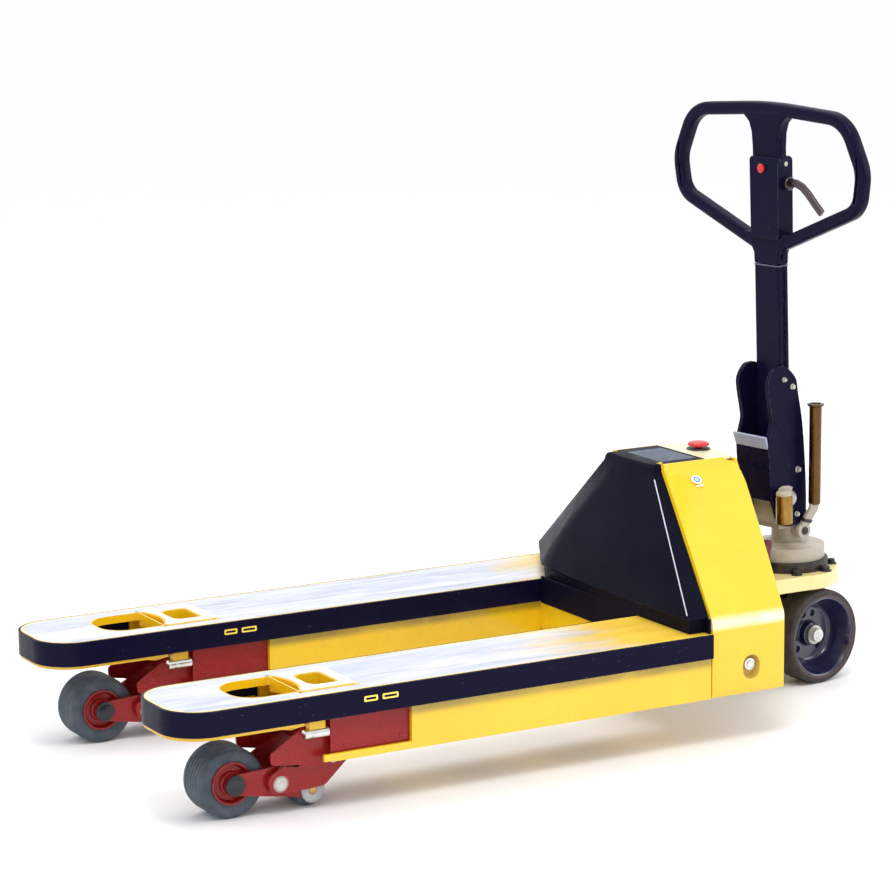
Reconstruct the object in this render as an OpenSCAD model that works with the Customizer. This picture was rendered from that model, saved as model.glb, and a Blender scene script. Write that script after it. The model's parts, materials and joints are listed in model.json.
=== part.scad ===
// Pallet jack with a battery housing, raised forks and a steering drawbar.
// Millimetres, +X towards the drawbar, +Z up, origin on the floor at the middle of the length.
// Inside the modules X is measured from the fork tips, and place() moves it to the origin.

/* [Forks] */
// Width across both forks
overall_w = 680; // [640:1:720]
// Width of one fork
fork_w = 182; // [176:1:190]
// Height of the fork tops above the floor, raised
fork_top_z = 192; // [188:1:198]
// Thickness of the fork top plate
plate_t = 6; // [4:0.5:8]
// Height of the painted side trim round each fork
trim_h = 40; // [34:1:44]
// Thickness of the side trim
trim_t = 5; // [4:0.5:6]
// Length of the rounded fork nose
nose_l = 100; // [80:1:120]
// Height of the underside of the fork beams
beam_z = 82; // [80:1:88]
// How far the fork frame is lowered from the raised position
lift = 64; // [50:1:64]

/* [Load wheels] */
// Radius of the large load wheel
load_wheel_r = 56; // [52:1:58]
// Width of the large load wheel
load_wheel_w = 66; // [56:1:70]
// Radius of the small entry roller
roller_r = 29; // [26:1:31]
// Width of the small entry roller
roller_w = 66; // [56:1:70]

/* [Housing] */
// X of the foremost line of the cover
cover_front_x = 920; // [914:1:924]
// How far the front corners of the cover stand back from its middle
cover_bow = 8; // [4:1:14]
// How far the right front corner of the cover stands back from the left one
cover_skew = 20; // [10:1:24]
// X where the yellow side panels start
panel_x = 968; // [965:1:972]
// X of the rear edge of the side boxes
panel_end_x = 1113; // [1108:1:1120]
// Height of the crease on the side panels
crease_z = 211; // [208:1:216]
// Height of the housing top
housing_top_z = 427; // [420:1:432]
// How much of its width the right corner of the cover slants back
cover_slant = 0.5; // [0.3:0.05:0.5]
// Half width of the housing top
top_half_w = 80; // [70:1:90]
// Wall thickness of the housing shells
wall = 4; // [3:0.5:5]

/* [Steering] */
// X of the steering axis
steer_x = 1354; // [1350:1:1360]
// Angle of the steering unit at rest, to the left
steer_angle = 9; // [0:0.1:15]
// Radius of the steer wheels
steer_wheel_r = 84; // [78:1:84]
// Width of one steer wheel
steer_wheel_w = 54; // [45:1:56]
// Distance from the steering axis to the outer face of a steer wheel
steer_wheel_out = 97; // [92:1:100]

/* [Drawbar] */
// Height of the drawbar hinge
hinge_z = 330; // [326:1:336]
// Distance of the drawbar hinge from the steering axis, towards the forks
hinge_x = 32; // [28:1:36]
// Height of the top of the handle loop
handle_top_z = 1030; // [1000:5:1060]
// Half width of the handle loop, to the bar centres
loop_half_w = 226; // [200:1:235]
// Lean of the upright drawbar towards the forks
drawbar_lean = 2; // [0:0.5:4]
// Radius of the handle bar
bar_r = 12; // [10:0.5:14]

/* [Hidden] */
$fn = 48;
SOFT = 32;
tyre_edge = 5;
// The rear end of the object is the tyre of the turned left steer wheel
overall_l = steer_x + steer_wheel_r * cos(steer_angle) + (steer_wheel_out - tyre_edge) * sin(steer_angle);
tip_x = -overall_l / 2;
half_w = overall_w / 2;
fork_y = half_w - fork_w / 2;
inner_y = half_w - fork_w;
run = 0.05;
gap = 0.3;
under_z = fork_top_z - plate_t;
trim_z = fork_top_z - trim_h;
beam_in = 7;
beam_t = 6;
window_x = 251;
beam_x = 405;
rail_h = 12;
post_w = 13;
hole_x0 = 124;
hole_x1 = 226;
hole_w = 108;
insert_x0 = 228;
insert_x1 = 326;
insert_w = 122;
pocket_x0 = 252;
pocket_x1 = 306;
pocket_w = 78;
arm_x = 320;
arm_z = 122;
bogie_x = 190;
bogie_z = 50;
wheel_x = 118;
roller_x = 250;
arm_y = 46;
arm_t = 8;
bracket_y = insert_w / 2 + 1;
bogie_y = 37;
bogie_t = 6;
pin_r = 9;
lug_z = 28;
rod_z = arm_z + lug_z;
rod_pin_r = 4.5;
// the lug hole is wide because the rod only slides, while the lug swings
rod_slack = 3;
heel_x = 940;
plate_top_z = 198;
plate_bot_z = 172;
plate_half_w = 94;
plate_r = 95;
ring_top_z = 216;
disc_top_z = 240;
boss_top_z = 286;
cyl_x = 1090;
cheek_y = plate_half_w + 24;
ram_r = 17.5;
column_x = -30;
column_w = 26;
column_d = 62;
yoke_y = 33;
yoke_t = 8;
yoke_top_z = 568;
seam_z = 745;
tilt_pin_r = 10;
axle_r = 12.5;
lever_z = 268;
pipe_x = 8;
pipe_y = -61;
lever_px = 4;
lever_pz = handle_top_z - 142;
button_z = handle_top_z - 116;
loop_top = handle_top_z - bar_r;
top_x0 = panel_x + 70;
top_x1 = panel_end_x + 82;
stop_x = top_x0 + 130;
stop_y = 6;
side_y = half_w - beam_in + 2;
slant_y = 155;
right_panel_x = panel_x + cover_skew + 56;
recess_x = panel_x + 78;
right_recess_x = panel_end_x - 36;
recess_z = beam_z + 45;
bridge_z = housing_top_z - 26;
shelf_z = crease_z + 100;

// ---------- placing ----------
module place() translate([tip_x, 0, 0]) children();
module steer() place() translate([steer_x, 0, 0]) rotate([0, 0, steer_angle]) children();
// side is -1 for the left fork and 1 for the right fork, seen from the drawbar
module both() for (s = [-1, 1]) scale_y(s) children();
module scale_y(s) if (s > 0) children(); else mirror([0, 1, 0]) children();
module fork(s) place() translate([0, s * fork_y, 0]) children();

// ---------- shared shapes ----------
module cyl_y(r, y0, y1) translate([0, y0, 0]) rotate([-90, 0, 0]) cylinder(r = r, h = y1 - y0);
module box(a, b) translate(a) cube(b - a);
module slab_y(y0, y1) translate([0, y1, 0]) rotate([90, 0, 0]) linear_extrude(y1 - y0) children();
module hex_y(r, y0, y1) translate([0, y0, 0]) rotate([-90, 0, 0]) cylinder(r = r, h = y1 - y0, $fn = 6);

// Outline of one fork from above, with a blunt round nose
module fork_outline(inset = 0) {
    w = fork_w / 2 - inset;
    translate([nose_l + inset, -w]) square([panel_x - 0.2 - nose_l - inset, 2 * w]);
    difference() {
        translate([nose_l, 0]) scale_nose(w, nose_l - inset);
        translate([nose_l + inset + 0.01, -w - 1]) square([nose_l * 2, 2 * w + 2]);
    }
}
// A nose is two quarter arcs joined by a flat front
module scale_nose(w, l) {
    r = min(w, l) * 0.74;
    translate([-l + r, w - r]) circle(r);
    translate([-l + r, -w + r]) circle(r);
    translate([-l, -w + r]) square([l, 2 * (w - r)]);
    translate([-l + r, -w]) square([l, 2 * w]);
}
module nose_hole(grow = 0) {
    w = hole_w / 2 + grow;
    r = 42;
    translate([hole_x0 + r - grow, 0]) intersection() {
        union() {
            translate([0, w - r]) circle(r);
            translate([0, -w + r]) circle(r);
            translate([-r, -w + r]) square([r, 2 * (w - r)]);
            translate([0, -w]) square([hole_x1 - hole_x0 - r + 2 * grow, 2 * w]);
        }
        translate([-200, -w]) square([400, 2 * w]);
    }
}

// ---------- forks ----------
module fork_top() color("gainsboro") difference() {
    translate([0, 0, under_z]) linear_extrude(plate_t) fork_outline(trim_t + 0.02);
    translate([0, 0, under_z - 1]) linear_extrude(plate_t + 2) nose_hole();
    box([hole_x1 - 5, -insert_w / 2, under_z - 1], [insert_x1, insert_w / 2, fork_top_z + 1]);
    // the plate steps down under the cover, so a load never lies against it
    box([cover_front_x - 6, -fork_w, fork_top_z - 0.5], [panel_x + 10, fork_w, fork_top_z + 1]);
}
module fork_top_left() fork(-1) fork_top();
module fork_top_right() fork(1) fork_top();

module fork_trim() color("midnightblue") difference() {
    union() {
        translate([0, 0, trim_z]) linear_extrude(trim_h) fork_outline();
        // yellow-painted lower lip round the nose is part of the same pressing
        translate([0, 0, trim_z - 5]) linear_extrude(5) intersection() {
            fork_outline(3);
            translate([0, -fork_w]) square([nose_l + 120, 2 * fork_w]);
        }
    }
    translate([0, 0, trim_z - 10]) linear_extrude(trim_h + 20) fork_outline(trim_t);
}
module fork_trim_left() fork(-1) fork_trim();
module fork_trim_right() fork(1) fork_trim();

// Cast insert behind the nose hole, with a pocket
module nose_insert() color("wheat") difference() {
    box([hole_x1 - 5 + 0.02, -insert_w / 2 + 0.02, under_z - 18], [insert_x1 - 0.02, insert_w / 2 - 0.02, fork_top_z + 3]);
    translate([0, 0, under_z - 20]) linear_extrude(40) hull() {
        for (x = [pocket_x0 + 10, pocket_x1 - 10], y = [-1, 1])
            translate([x, y * (pocket_w / 2 - 10)]) circle(10, $fn = SOFT);
    }
    // round front edge that follows the nose hole
    translate([hole_x1 - 26, 0, under_z - 20]) cylinder(r = 34, h = 40);
    // open underside
    box([insert_x0 + 8, -insert_w / 2 + 8, under_z - 20], [insert_x1 - 8, insert_w / 2 - 8, under_z - 2]);
}
module nose_insert_left() fork(-1) nose_insert();
module nose_insert_right() fork(1) nose_insert();

// Hollow beam under a fork: two webs, each with a window for the wheel linkage
// end_x is where the side box of the housing takes over
module fork_beam(end_x) color("gold") {
    for (s = [-1, 1]) scale_y(s) {
        difference() {
            box([window_x, fork_w / 2 - beam_in - beam_t, beam_z], [end_x - 0.2, fork_w / 2 - beam_in, trim_z]);
            box([window_x - 1, fork_w / 2 - fork_w, beam_z + rail_h], [beam_x, fork_w / 2, trim_z + 1]);
            box([window_x - 1, fork_w / 2 - fork_w, beam_z - 1], [window_x + 20, fork_w / 2, beam_z + 1]);
        }
        // stiffening post round the window, and the top flange under the fork plate
        box([beam_x, fork_w / 2 - beam_in - beam_t - 20, beam_z], [beam_x + post_w, fork_w / 2 - beam_in - beam_t + 0.01, trim_z]);
        box([window_x - 30, fork_w / 2 - beam_in - beam_t, trim_z], [heel_x + 20, fork_w / 2 - trim_t - 0.02, under_z - 0.02]);
    }
    // bottom tie plates between the webs, clear of the push rod
    for (x = [430, 640, 850])
        box([x, -fork_w / 2 + beam_in + beam_t - 0.01, beam_z], [x + 60, fork_w / 2 - beam_in - beam_t + 0.01, beam_z + 5]);
}
module fork_beam_left() fork(-1) fork_beam(panel_x);
module fork_beam_right() fork(1) fork_beam(right_panel_x);

module beam_screws() for (s = [-1, 1]) scale_y(s)
    for (p = [[422, trim_z - 7], [410, beam_z + 6], [956, trim_z - 7]])
        translate([p[0], 0, p[1]]) cyl_y(3, half_w - beam_in, half_w - beam_in + 1.5);

// Welded heel: cross channel, cheeks inside the side boxes and the bridge over the lift ram
module heel_frame() color("goldenrod") place() {
    difference() {
        box([heel_x, -inner_y + 4, beam_z + 5], [heel_x + 24, inner_y - 4, fork_top_z]);
        // cable opening
        translate([heel_x - 1, 0, beam_z + 50]) rotate([0, 90, 0]) cylinder(r = 18, h = 40);
    }
    for (s = [-1, 1]) scale_y(s) {
        box([heel_x, inner_y - 4.01, beam_z + 5], [heel_x + 24, half_w - beam_in - 20, trim_z]);
        box([heel_x + 23, cheek_y, beam_z + 5], [panel_end_x - 12, cheek_y + 8, fork_top_z]);
        box([heel_x + 70, cheek_y, fork_top_z - 0.1], [panel_end_x - 12, cheek_y + 8, crease_z + 70]);
        box([cyl_x - 20, cheek_y, crease_z + 69], [cyl_x + 20, cheek_y + 8, shelf_z]);
        box([cyl_x - 20, 62, shelf_z - 8], [cyl_x + 20, cheek_y + 8, shelf_z]);
        box([cyl_x - 20, 54, shelf_z - 8], [cyl_x + 20, 62.01, bridge_z]);
    }
    difference() {
        box([cyl_x - 20, -62, bridge_z - 8], [cyl_x + 20, 62, bridge_z]);
        translate([cyl_x, 0, bridge_z - 20]) cylinder(r = 9, h = 40);
    }
}

// ---------- load wheel units ----------
module arm_plate(y0, y1) slab_y(y0, y1) difference() {
    hull() {
        translate([arm_x, arm_z]) circle(20, $fn = SOFT);
        translate([bogie_x, bogie_z + 4]) circle(19, $fn = SOFT);
        translate([bogie_x + 62, bogie_z + 6]) circle(19, $fn = SOFT);
    }
    translate([bogie_x, bogie_z]) circle(pin_r + 3 + run);
    translate([arm_x, arm_z]) circle(pin_r + 3);
}
// Brackets under the fork plates that carry the load arm pins
module arm_brackets() color("firebrick") for (s = [-1, 1]) fork(s) for (t = [-1, 1]) scale_y(t)
    slab_y(bracket_y, bracket_y + 8) difference() {
        union() {
            translate([arm_x, arm_z]) circle(20);
            translate([arm_x - 20, arm_z]) square([40, under_z - arm_z - 0.05]);
        }
        translate([arm_x, arm_z]) circle(pin_r);
    }
module load_arm() color("firebrick") {
    for (s = [-1, 1]) scale_y(s) arm_plate(arm_y, arm_y + arm_t);
    // cross web above the wheels, and the lug for the push rod
    translate([arm_x - 52, -arm_y - 0.01, arm_z - 14]) rotate([0, -29, 0]) translate([-18, 0, -4])
        cube([40, 2 * arm_y + 0.02, 8]);
    difference() {
        union() {
            slab_y(-8, 8) hull() {
                translate([arm_x, arm_z + lug_z]) circle(11, $fn = SOFT);
                translate([arm_x, arm_z + 4]) circle(15, $fn = SOFT);
            }
            translate([arm_x, 0, arm_z]) cyl_y(17, -arm_y - 0.01, arm_y + 0.01);
        }
        translate([arm_x, 0, arm_z]) cyl_y(pin_r + 3, -60, 60);
        translate([arm_x, 0, rod_z]) cyl_y(rod_pin_r + rod_slack, -60, 60);
    }
}
module load_arm_left() fork(-1) load_arm();
module load_arm_right() fork(1) load_arm();

module arm_bushes() color("darkgoldenrod") translate([arm_x, 0, arm_z]) difference() {
    cyl_y(pin_r + 3, -arm_y - arm_t, arm_y + arm_t);
    cyl_y(pin_r + run, -60, 60);
}
module arm_bushes_left() fork(-1) arm_bushes();
module arm_bushes_right() fork(1) arm_bushes();

// Main pins of both load arms, with heads
module arm_pins() for (s = [-1, 1]) fork(s) color("silver") translate([arm_x, 0, arm_z]) {
    cyl_y(pin_r, -bracket_y - 8, bracket_y + 8);
    for (t = [-1, 1]) scale_y(t) cyl_y(13, bracket_y + 8, bracket_y + 13);
}

module bogie() color("brown") {
    difference() {
        union() {
            for (s = [-1, 1]) scale_y(s) slab_y(bogie_y, bogie_y + bogie_t) difference() {
                hull() {
                    translate([wheel_x, load_wheel_r]) circle(16, $fn = SOFT);
                    translate([roller_x, roller_r + 2]) circle(14, $fn = SOFT);
                    translate([bogie_x, bogie_z + 10]) circle(16, $fn = SOFT);
                }
                translate([wheel_x, load_wheel_r]) circle(8);
                translate([roller_x, roller_r]) circle(7);
            }
            // cross tube that the pivot goes through, with its pivot stubs
            translate([bogie_x, 0, bogie_z]) cyl_y(pin_r + 3, -arm_y - arm_t - 2, arm_y + arm_t + 2);
        }
    }
    // wheel axles are pressed into the bogie plates
    translate([wheel_x, 0, load_wheel_r]) cyl_y(8, -bogie_y - bogie_t - 1, bogie_y + bogie_t + 1);
    translate([roller_x, 0, roller_r]) cyl_y(7, -bogie_y - bogie_t - 1, bogie_y + bogie_t + 1);
}
module bogie_left() fork(-1) bogie();
module bogie_right() fork(1) bogie();

module load_tyre() color("darkslategray") translate([wheel_x, 0, load_wheel_r]) difference() {
    union() {
        cyl_y(load_wheel_r, -load_wheel_w / 2 + 6, load_wheel_w / 2 - 6);
        cyl_y(load_wheel_r - 3, -load_wheel_w / 2, load_wheel_w / 2);
    }
    cyl_y(34, -50, 50);
}
module load_tyre_left() fork(-1) load_tyre();
module load_tyre_right() fork(1) load_tyre();

module load_hub() color("crimson") translate([wheel_x, 0, load_wheel_r]) difference() {
    cyl_y(34, -load_wheel_w / 2 + 0.5, load_wheel_w / 2 - 0.5);
    for (s = [-1, 1]) scale_y(s) difference() {
        cyl_y(29, load_wheel_w / 2 - 10, load_wheel_w / 2);
        cyl_y(17, load_wheel_w / 2 - 11, load_wheel_w / 2 + 1);
    }
    cyl_y(8 + run, -50, 50);
}
module load_hub_left() fork(-1) load_hub();
module load_hub_right() fork(1) load_hub();

module roller() color("dimgray") translate([roller_x, 0, roller_r]) difference() {
    union() {
        cyl_y(roller_r, -roller_w / 2 + 3, roller_w / 2 - 3);
        cyl_y(roller_r - 4, -roller_w / 2, roller_w / 2);
    }
    cyl_y(7 + run, -50, 50);
}
module roller_left() fork(-1) roller();
module roller_right() fork(1) roller();

// Push rod from the heel to the lug of the load arm, with a fork end
module push_rod() color("firebrick") {
    difference() {
        union() {
            for (s = [-1, 1]) scale_y(s) slab_y(8 + gap, 14) hull() {
                translate([arm_x, rod_z]) circle(9, $fn = SOFT);
                translate([arm_x + 46, rod_z]) circle(9, $fn = SOFT);
            }
            box([arm_x + 30, -14, rod_z - 11], [arm_x + 60, 14, rod_z + 11]);
        }
        box([arm_x - 20, -8 - gap, rod_z - 20], [arm_x + 24, 8 + gap, rod_z + 20]);
    }
    translate([arm_x, 0, rod_z]) cyl_y(rod_pin_r, -16, 16);
    translate([arm_x + 50, 0, rod_z]) rotate([0, 90, 0]) cylinder(r = 9, h = heel_x - arm_x - 90);
    // guard channel that closes the window in the beam
    for (s = [-1, 1]) scale_y(s) box([arm_x + 26, 50, beam_z + 12], [beam_x + 12, 55, rod_z + 8]);
    box([arm_x + 34, -50.01, rod_z - 4], [beam_x + 12, 50.01, rod_z + 4]);
}
module push_rod_left() fork(-1) push_rod();
module push_rod_right() fork(1) push_rod();

// ---------- chassis and lift ----------
module chassis_plate() color("khaki") place() difference() {
    union() {
        difference() {
            union() {
                box([cyl_x - 62, -plate_half_w, plate_bot_z], [steer_x, plate_half_w, plate_top_z]);
                translate([steer_x - 2, 0, plate_bot_z]) cylinder(r = plate_r, h = plate_top_z - plate_bot_z);
            }
            // folded edge all round, open below
            box([cyl_x - 54, -plate_half_w + 8, plate_bot_z - 1], [steer_x, plate_half_w - 8, plate_top_z - 10]);
            translate([steer_x - 2, 0, plate_bot_z - 1]) cylinder(r = plate_r - 8, h = plate_top_z - plate_bot_z - 9);
        }
        translate([steer_x, 0, plate_bot_z + 2]) cylinder(r = 40, h = plate_top_z - plate_bot_z - 4);
    }
    translate([steer_x, 0, plate_bot_z - 10]) cylinder(r = 25 + run, h = 80);
}
module turntable_ring() color("dimgray") place() translate([steer_x, 0, plate_top_z]) difference() {
    cylinder(r = 74, h = ring_top_z - plate_top_z);
    translate([0, 0, -1]) cylinder(r = 30, h = 40);
    // annular ball race
    translate([0, 0, ring_top_z - plate_top_z - 6]) difference() {
        cylinder(r = 52, h = 10);
        cylinder(r = 40, h = 10);
    }
}
module ring_bolts() color("black") place() translate([steer_x, 0, 0]) for (a = [22.5 : 45 : 360])
    rotate([0, 0, a]) translate([82, 0, plate_top_z]) {
        cylinder(r = 7, h = 5, $fn = 6);
        cylinder(r = 4, h = 8);
    }
module lift_cylinder() color("slategray") place() translate([cyl_x, 0, 0]) difference() {
    union() {
        translate([0, 0, plate_top_z]) cylinder(r = 30, h = 108);
        translate([0, 0, plate_top_z]) cylinder(r = 40, h = 12);
    }
    translate([0, 0, plate_top_z + 10]) cylinder(r = ram_r + run, h = 120);
}
module lift_ram() color("silver") place() translate([cyl_x, 0, 0]) {
    translate([0, 0, plate_top_z + 10 + lift + 4]) cylinder(r = ram_r, h = bridge_z - 8 - plate_top_z - 14 - lift);
    translate([0, 0, bridge_z - 8.1]) cylinder(r = 9, h = 14);
}
module pump_block() color("dimgray") place()
    box([cyl_x + 44, -42, plate_top_z], [cyl_x + 104, 42, plate_top_z + 70]);
module pump_motor() color("black") place() translate([cyl_x + 76, 0, plate_top_z + 36])
    cyl_y(32, 42, 92);
module oil_tank() color("lightsteelblue") place() {
    translate([steer_x - 103, 14, plate_top_z]) cylinder(r = 23, h = 76);
    translate([steer_x - 103, 14, plate_top_z + 75.9]) cylinder(r = 10, h = 8);
}
module hose_connectors() color("darkred") place() {
    translate([steer_x - 102, -36, plate_top_z]) cylinder(r = 9, h = 64);
    translate([steer_x - 102, -36, plate_top_z + 63.9]) cylinder(r = 12, h = 18, $fn = 6);
    translate([steer_x - 84, -56, plate_top_z]) cylinder(r = 8, h = 50);
    translate([steer_x - 84, -56, plate_top_z + 49.9]) cylinder(r = 11, h = 14, $fn = 6);
}
module motor_controller() color("gray") place() {
    box([cyl_x - 56, -90, plate_top_z], [cyl_x + 20, -48, plate_top_z + 28]);
    for (i = [0 : 5]) box([cyl_x - 52 + i * 12, -88, plate_top_z + 27.9], [cyl_x - 48 + i * 12, -50, plate_top_z + 36]);
}
module battery() color("dimgray") place() {
    box([heel_x + 32, -84, fork_top_z + 8], [cyl_x - 68, 84, fork_top_z + 88]);
    for (s = [-1, 1]) translate([heel_x + 58, s * 50, fork_top_z + 87.9]) cylinder(r = 8, h = 12);
}

// ---------- housing ----------

// Front line of the cover at a given y, w is the half width that it spans
function cover_line(y, w) = cover_front_x + cover_bow * pow(y / w, 2) + cover_skew * (y + w) / (2 * w)
    + cover_slant * max(0, y - slant_y);
module cover_plan(d, w) polygon(concat(
    [for (i = [0 : 12]) [cover_line(w * (i / 6 - 1), w) + d, (w - d) * (i / 6 - 1)]],
    [[right_panel_x, w - d], [panel_x, -w + d]]
));
module front_body(d) {
    w = half_w - 17;
    hull() {
        translate([0, 0, fork_top_z + gap]) linear_extrude(26 - d) cover_plan(d, w);
        box([top_x0 - 15 + d, -top_half_w + 6 + d, housing_top_z - 14 - d], [top_x0, top_half_w - 6 - d, housing_top_z - 1 - d]);
        box([top_x0 - 22 + d, -10, housing_top_z - 14 - d], [top_x0, 10, housing_top_z - 3 - d]);
    }
}
module front_cover() color("midnightblue") place() {
    difference() {
        front_body(0);
        translate([0.1, 0, -wall]) front_body(wall);
    }
    // apron between the forks, in front of the heel channel
    box([heel_x - 7, -inner_y + 5, fork_top_z - 42], [heel_x - 1, inner_y - 5, fork_top_z + 8]);
}

// Yellow side shell: slanted upper panel, box below it, and a round service recess
// x0 is the front edge of the box
module side_panel(x0, bolt_x) color("gold") {
    difference() {
        union() {
            hull() {
                box([x0 + gap, side_y - wall, crease_z - 4], [panel_end_x, side_y, crease_z]);
                box([top_x0 + gap, top_half_w - wall, housing_top_z - 6], [top_x1, top_half_w, housing_top_z - 4]);
            }
            box([x0 + gap, side_y - wall, beam_z], [panel_end_x, side_y, crease_z - 3.9]);
        }
        recess_hole(bolt_x, side_y - 10, side_y + 1);
    }
    // returns of the box at its front, rear and bottom
    box([x0 + gap, side_y - 60, beam_z], [x0 + gap + wall, side_y - wall + 0.1, trim_z - 2]);
    box([panel_end_x - wall, plate_half_w + 32, beam_z], [panel_end_x, side_y - wall + 0.1, crease_z]);
    box([x0 + gap, side_y - 60, beam_z], [panel_end_x, side_y - wall + 0.1, beam_z + wall]);
}
module recess_hole(x, y0, y1) translate([x, 0, recess_z]) {
    for (z = [-4, 4]) translate([0, 0, z]) cyl_y(17, y0, y1);
    box([-17, y0, -4], [17, y1, 4]);
}
module side_panel_left() place() scale_y(-1) side_panel(panel_x, recess_x);
module side_panel_right() place() scale_y(1) side_panel(right_panel_x, right_recess_x);

// Cups and bolts in the recesses of the side boxes
module panel_bolt(x) {
    difference() {
        recess_hole(x, side_y - 14, side_y - wall);
        translate([x, 0, recess_z]) for (z = [-4, 4]) translate([0, 0, z]) cyl_y(14, side_y - 11, side_y);
        box([x - 14, side_y - 11, recess_z - 4], [x + 14, side_y, recess_z + 4]);
    }
    translate([x, 0, recess_z + 2]) hex_y(8, side_y - 11.5, side_y - 5);
    translate([x, 0, recess_z + 2]) cyl_y(5, side_y - 6, side_y - 2);
}
module panel_bolts() {
    scale_y(-1) panel_bolt(recess_x);
    scale_y(1) panel_bolt(right_recess_x);
}

module frame_fasteners() color("silver") place() {
    beam_screws();
    panel_bolts();
}

module top_cover() color("lemonchiffon") place() difference() {
    union() {
        box([top_x0 + gap, -top_half_w, housing_top_z - 4], [top_x1, top_half_w, housing_top_z]);
        box([top_x0 + 8, -top_half_w + 10, housing_top_z - 12], [top_x1 - 8, top_half_w - 10, housing_top_z - 3.9]);
    }
    box([top_x0 + 14, -top_half_w + 16, housing_top_z - 20], [top_x1 - 14, top_half_w - 16, housing_top_z - 4]);
    box([top_x0 + 10, -56, housing_top_z - 20], [top_x0 + 88, 56, housing_top_z + 1]);
    translate([stop_x, stop_y, housing_top_z - 20]) cylinder(r = 11, h = 40);
}

module vent_grille() color("black") place() translate([0, 0, housing_top_z - 8]) {
    difference() {
        box([top_x0 + 10.1, -55.9, 0], [top_x0 + 87.9, 55.9, 7]);
        box([top_x0 + 14, -52, -1], [top_x0 + 84, 52, 8]);
    }
    for (i = [0 : 9]) box([top_x0 + 16 + i * 7, -52.1, 1], [top_x0 + 19 + i * 7, 52.1, 6]);
    for (y = [-26, 0, 26]) box([top_x0 + 14, y - 1.5, 1], [top_x0 + 84, y + 1.5, 4.5]);
}

module rear_cover() color("gold") place() difference() {
    hull() {
        box([panel_end_x - wall, -side_y + wall + 7, crease_z + gap], [panel_end_x, side_y - wall - 7, crease_z + 2]);
        box([top_x1 - wall, -top_half_w + wall + 4, housing_top_z - 8], [top_x1, top_half_w - wall - 4, housing_top_z - 6]);
    }
    box([panel_end_x - 20, -plate_half_w - 24, crease_z - 10], [top_x1 + 10, plate_half_w + 24, crease_z + 150]);
}

module stop_collar() color("black") place() translate([stop_x, stop_y, housing_top_z]) difference() {
    union() {
        cylinder(r = 21, h = 2.5);
        translate([0, 0, -14]) cylinder(r = 10.9, h = 15);
    }
    translate([0, 0, -20]) cylinder(r = 7 + run, h = 40);
}
module stop_button() color("red") place() translate([stop_x, stop_y, housing_top_z]) {
    translate([0, 0, -18]) cylinder(r = 7, h = 25);
    translate([0, 0, 6.2]) cylinder(r1 = 18, r2 = 19, h = 3);
    translate([0, 0, 9.2]) cylinder(r1 = 19, r2 = 15, h = 4);
}

// ---------- steering unit ----------
module steer_disc() color("tan") steer() {
    translate([0, 0, ring_top_z + gap]) cylinder(r = 68, h = disc_top_z - ring_top_z - gap);
    translate([0, 0, disc_top_z - 0.1]) cylinder(r = 40, h = 6);
    translate([0, 0, disc_top_z]) cylinder(r = 27, h = boss_top_z - disc_top_z);
    // boss for the brake lever
    translate([0, 0, lever_z]) cyl_y(13, -36, 0);
    difference() {
        union() {
            box([-hinge_x - 14, -28, boss_top_z - 12], [22, 28, boss_top_z + 16]);
            box([-hinge_x - 22, -28, boss_top_z], [-hinge_x + 22, 28, hinge_z]);
            translate([-hinge_x, 0, hinge_z]) cyl_y(24, -yoke_y + gap, yoke_y - gap);
        }
        translate([-hinge_x, 0, hinge_z]) cyl_y(tilt_pin_r + run, -60, 60);
    }
}
module steer_fork() color("midnightblue") steer() difference() {
    union() {
        translate([0, 0, steer_wheel_r + 20]) cylinder(r = 25, h = ring_top_z + gap - steer_wheel_r - 20);
        box([-34, -32, steer_wheel_r - 26], [34, 32, steer_wheel_r + 60]);
        translate([0, 0, steer_wheel_r + 50]) cylinder(r = 38, h = plate_bot_z + 1.5 - steer_wheel_r - 50);
    }
    translate([0, 0, steer_wheel_r]) cyl_y(axle_r, -60, 60);
}
module steer_axle() color("silver") steer() translate([0, 0, steer_wheel_r]) {
    cyl_y(axle_r, -steer_wheel_out + 28, steer_wheel_out - 28);
    for (s = [-1, 1]) scale_y(s) {
        cyl_y(17, steer_wheel_out - 29, steer_wheel_out - 22);
        cyl_y(12, steer_wheel_out - 22.1, steer_wheel_out - 14);
    }
}
module steer_tyre() color("black") translate([0, 0, steer_wheel_r]) difference() {
    union() {
        cyl_y(steer_wheel_r, steer_wheel_out - steer_wheel_w + tyre_edge, steer_wheel_out - tyre_edge);
        cyl_y(steer_wheel_r - 3, steer_wheel_out - steer_wheel_w, steer_wheel_out);
    }
    cyl_y(steer_wheel_r - 12, 0, 150);
}
module steer_hub() color("navy") translate([0, 0, steer_wheel_r]) difference() {
    cyl_y(steer_wheel_r - 12, steer_wheel_out - steer_wheel_w + 1, steer_wheel_out - 1);
    difference() {
        cyl_y(steer_wheel_r - 17, steer_wheel_out - 36, steer_wheel_out);
        cyl_y(24, steer_wheel_out - 37, steer_wheel_out - 30);
    }
    cyl_y(axle_r + run, 0, 150);
    for (a = [60, 180, 300]) rotate([0, a, 0]) translate([44, 0, 0]) cyl_y(9, 0, 150);
}
module steer_tyre_left() steer() scale_y(-1) steer_tyre();
module steer_tyre_right() steer() scale_y(1) steer_tyre();
module steer_hub_left() steer() scale_y(-1) steer_hub();
module steer_hub_right() steer() scale_y(1) steer_hub();

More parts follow.
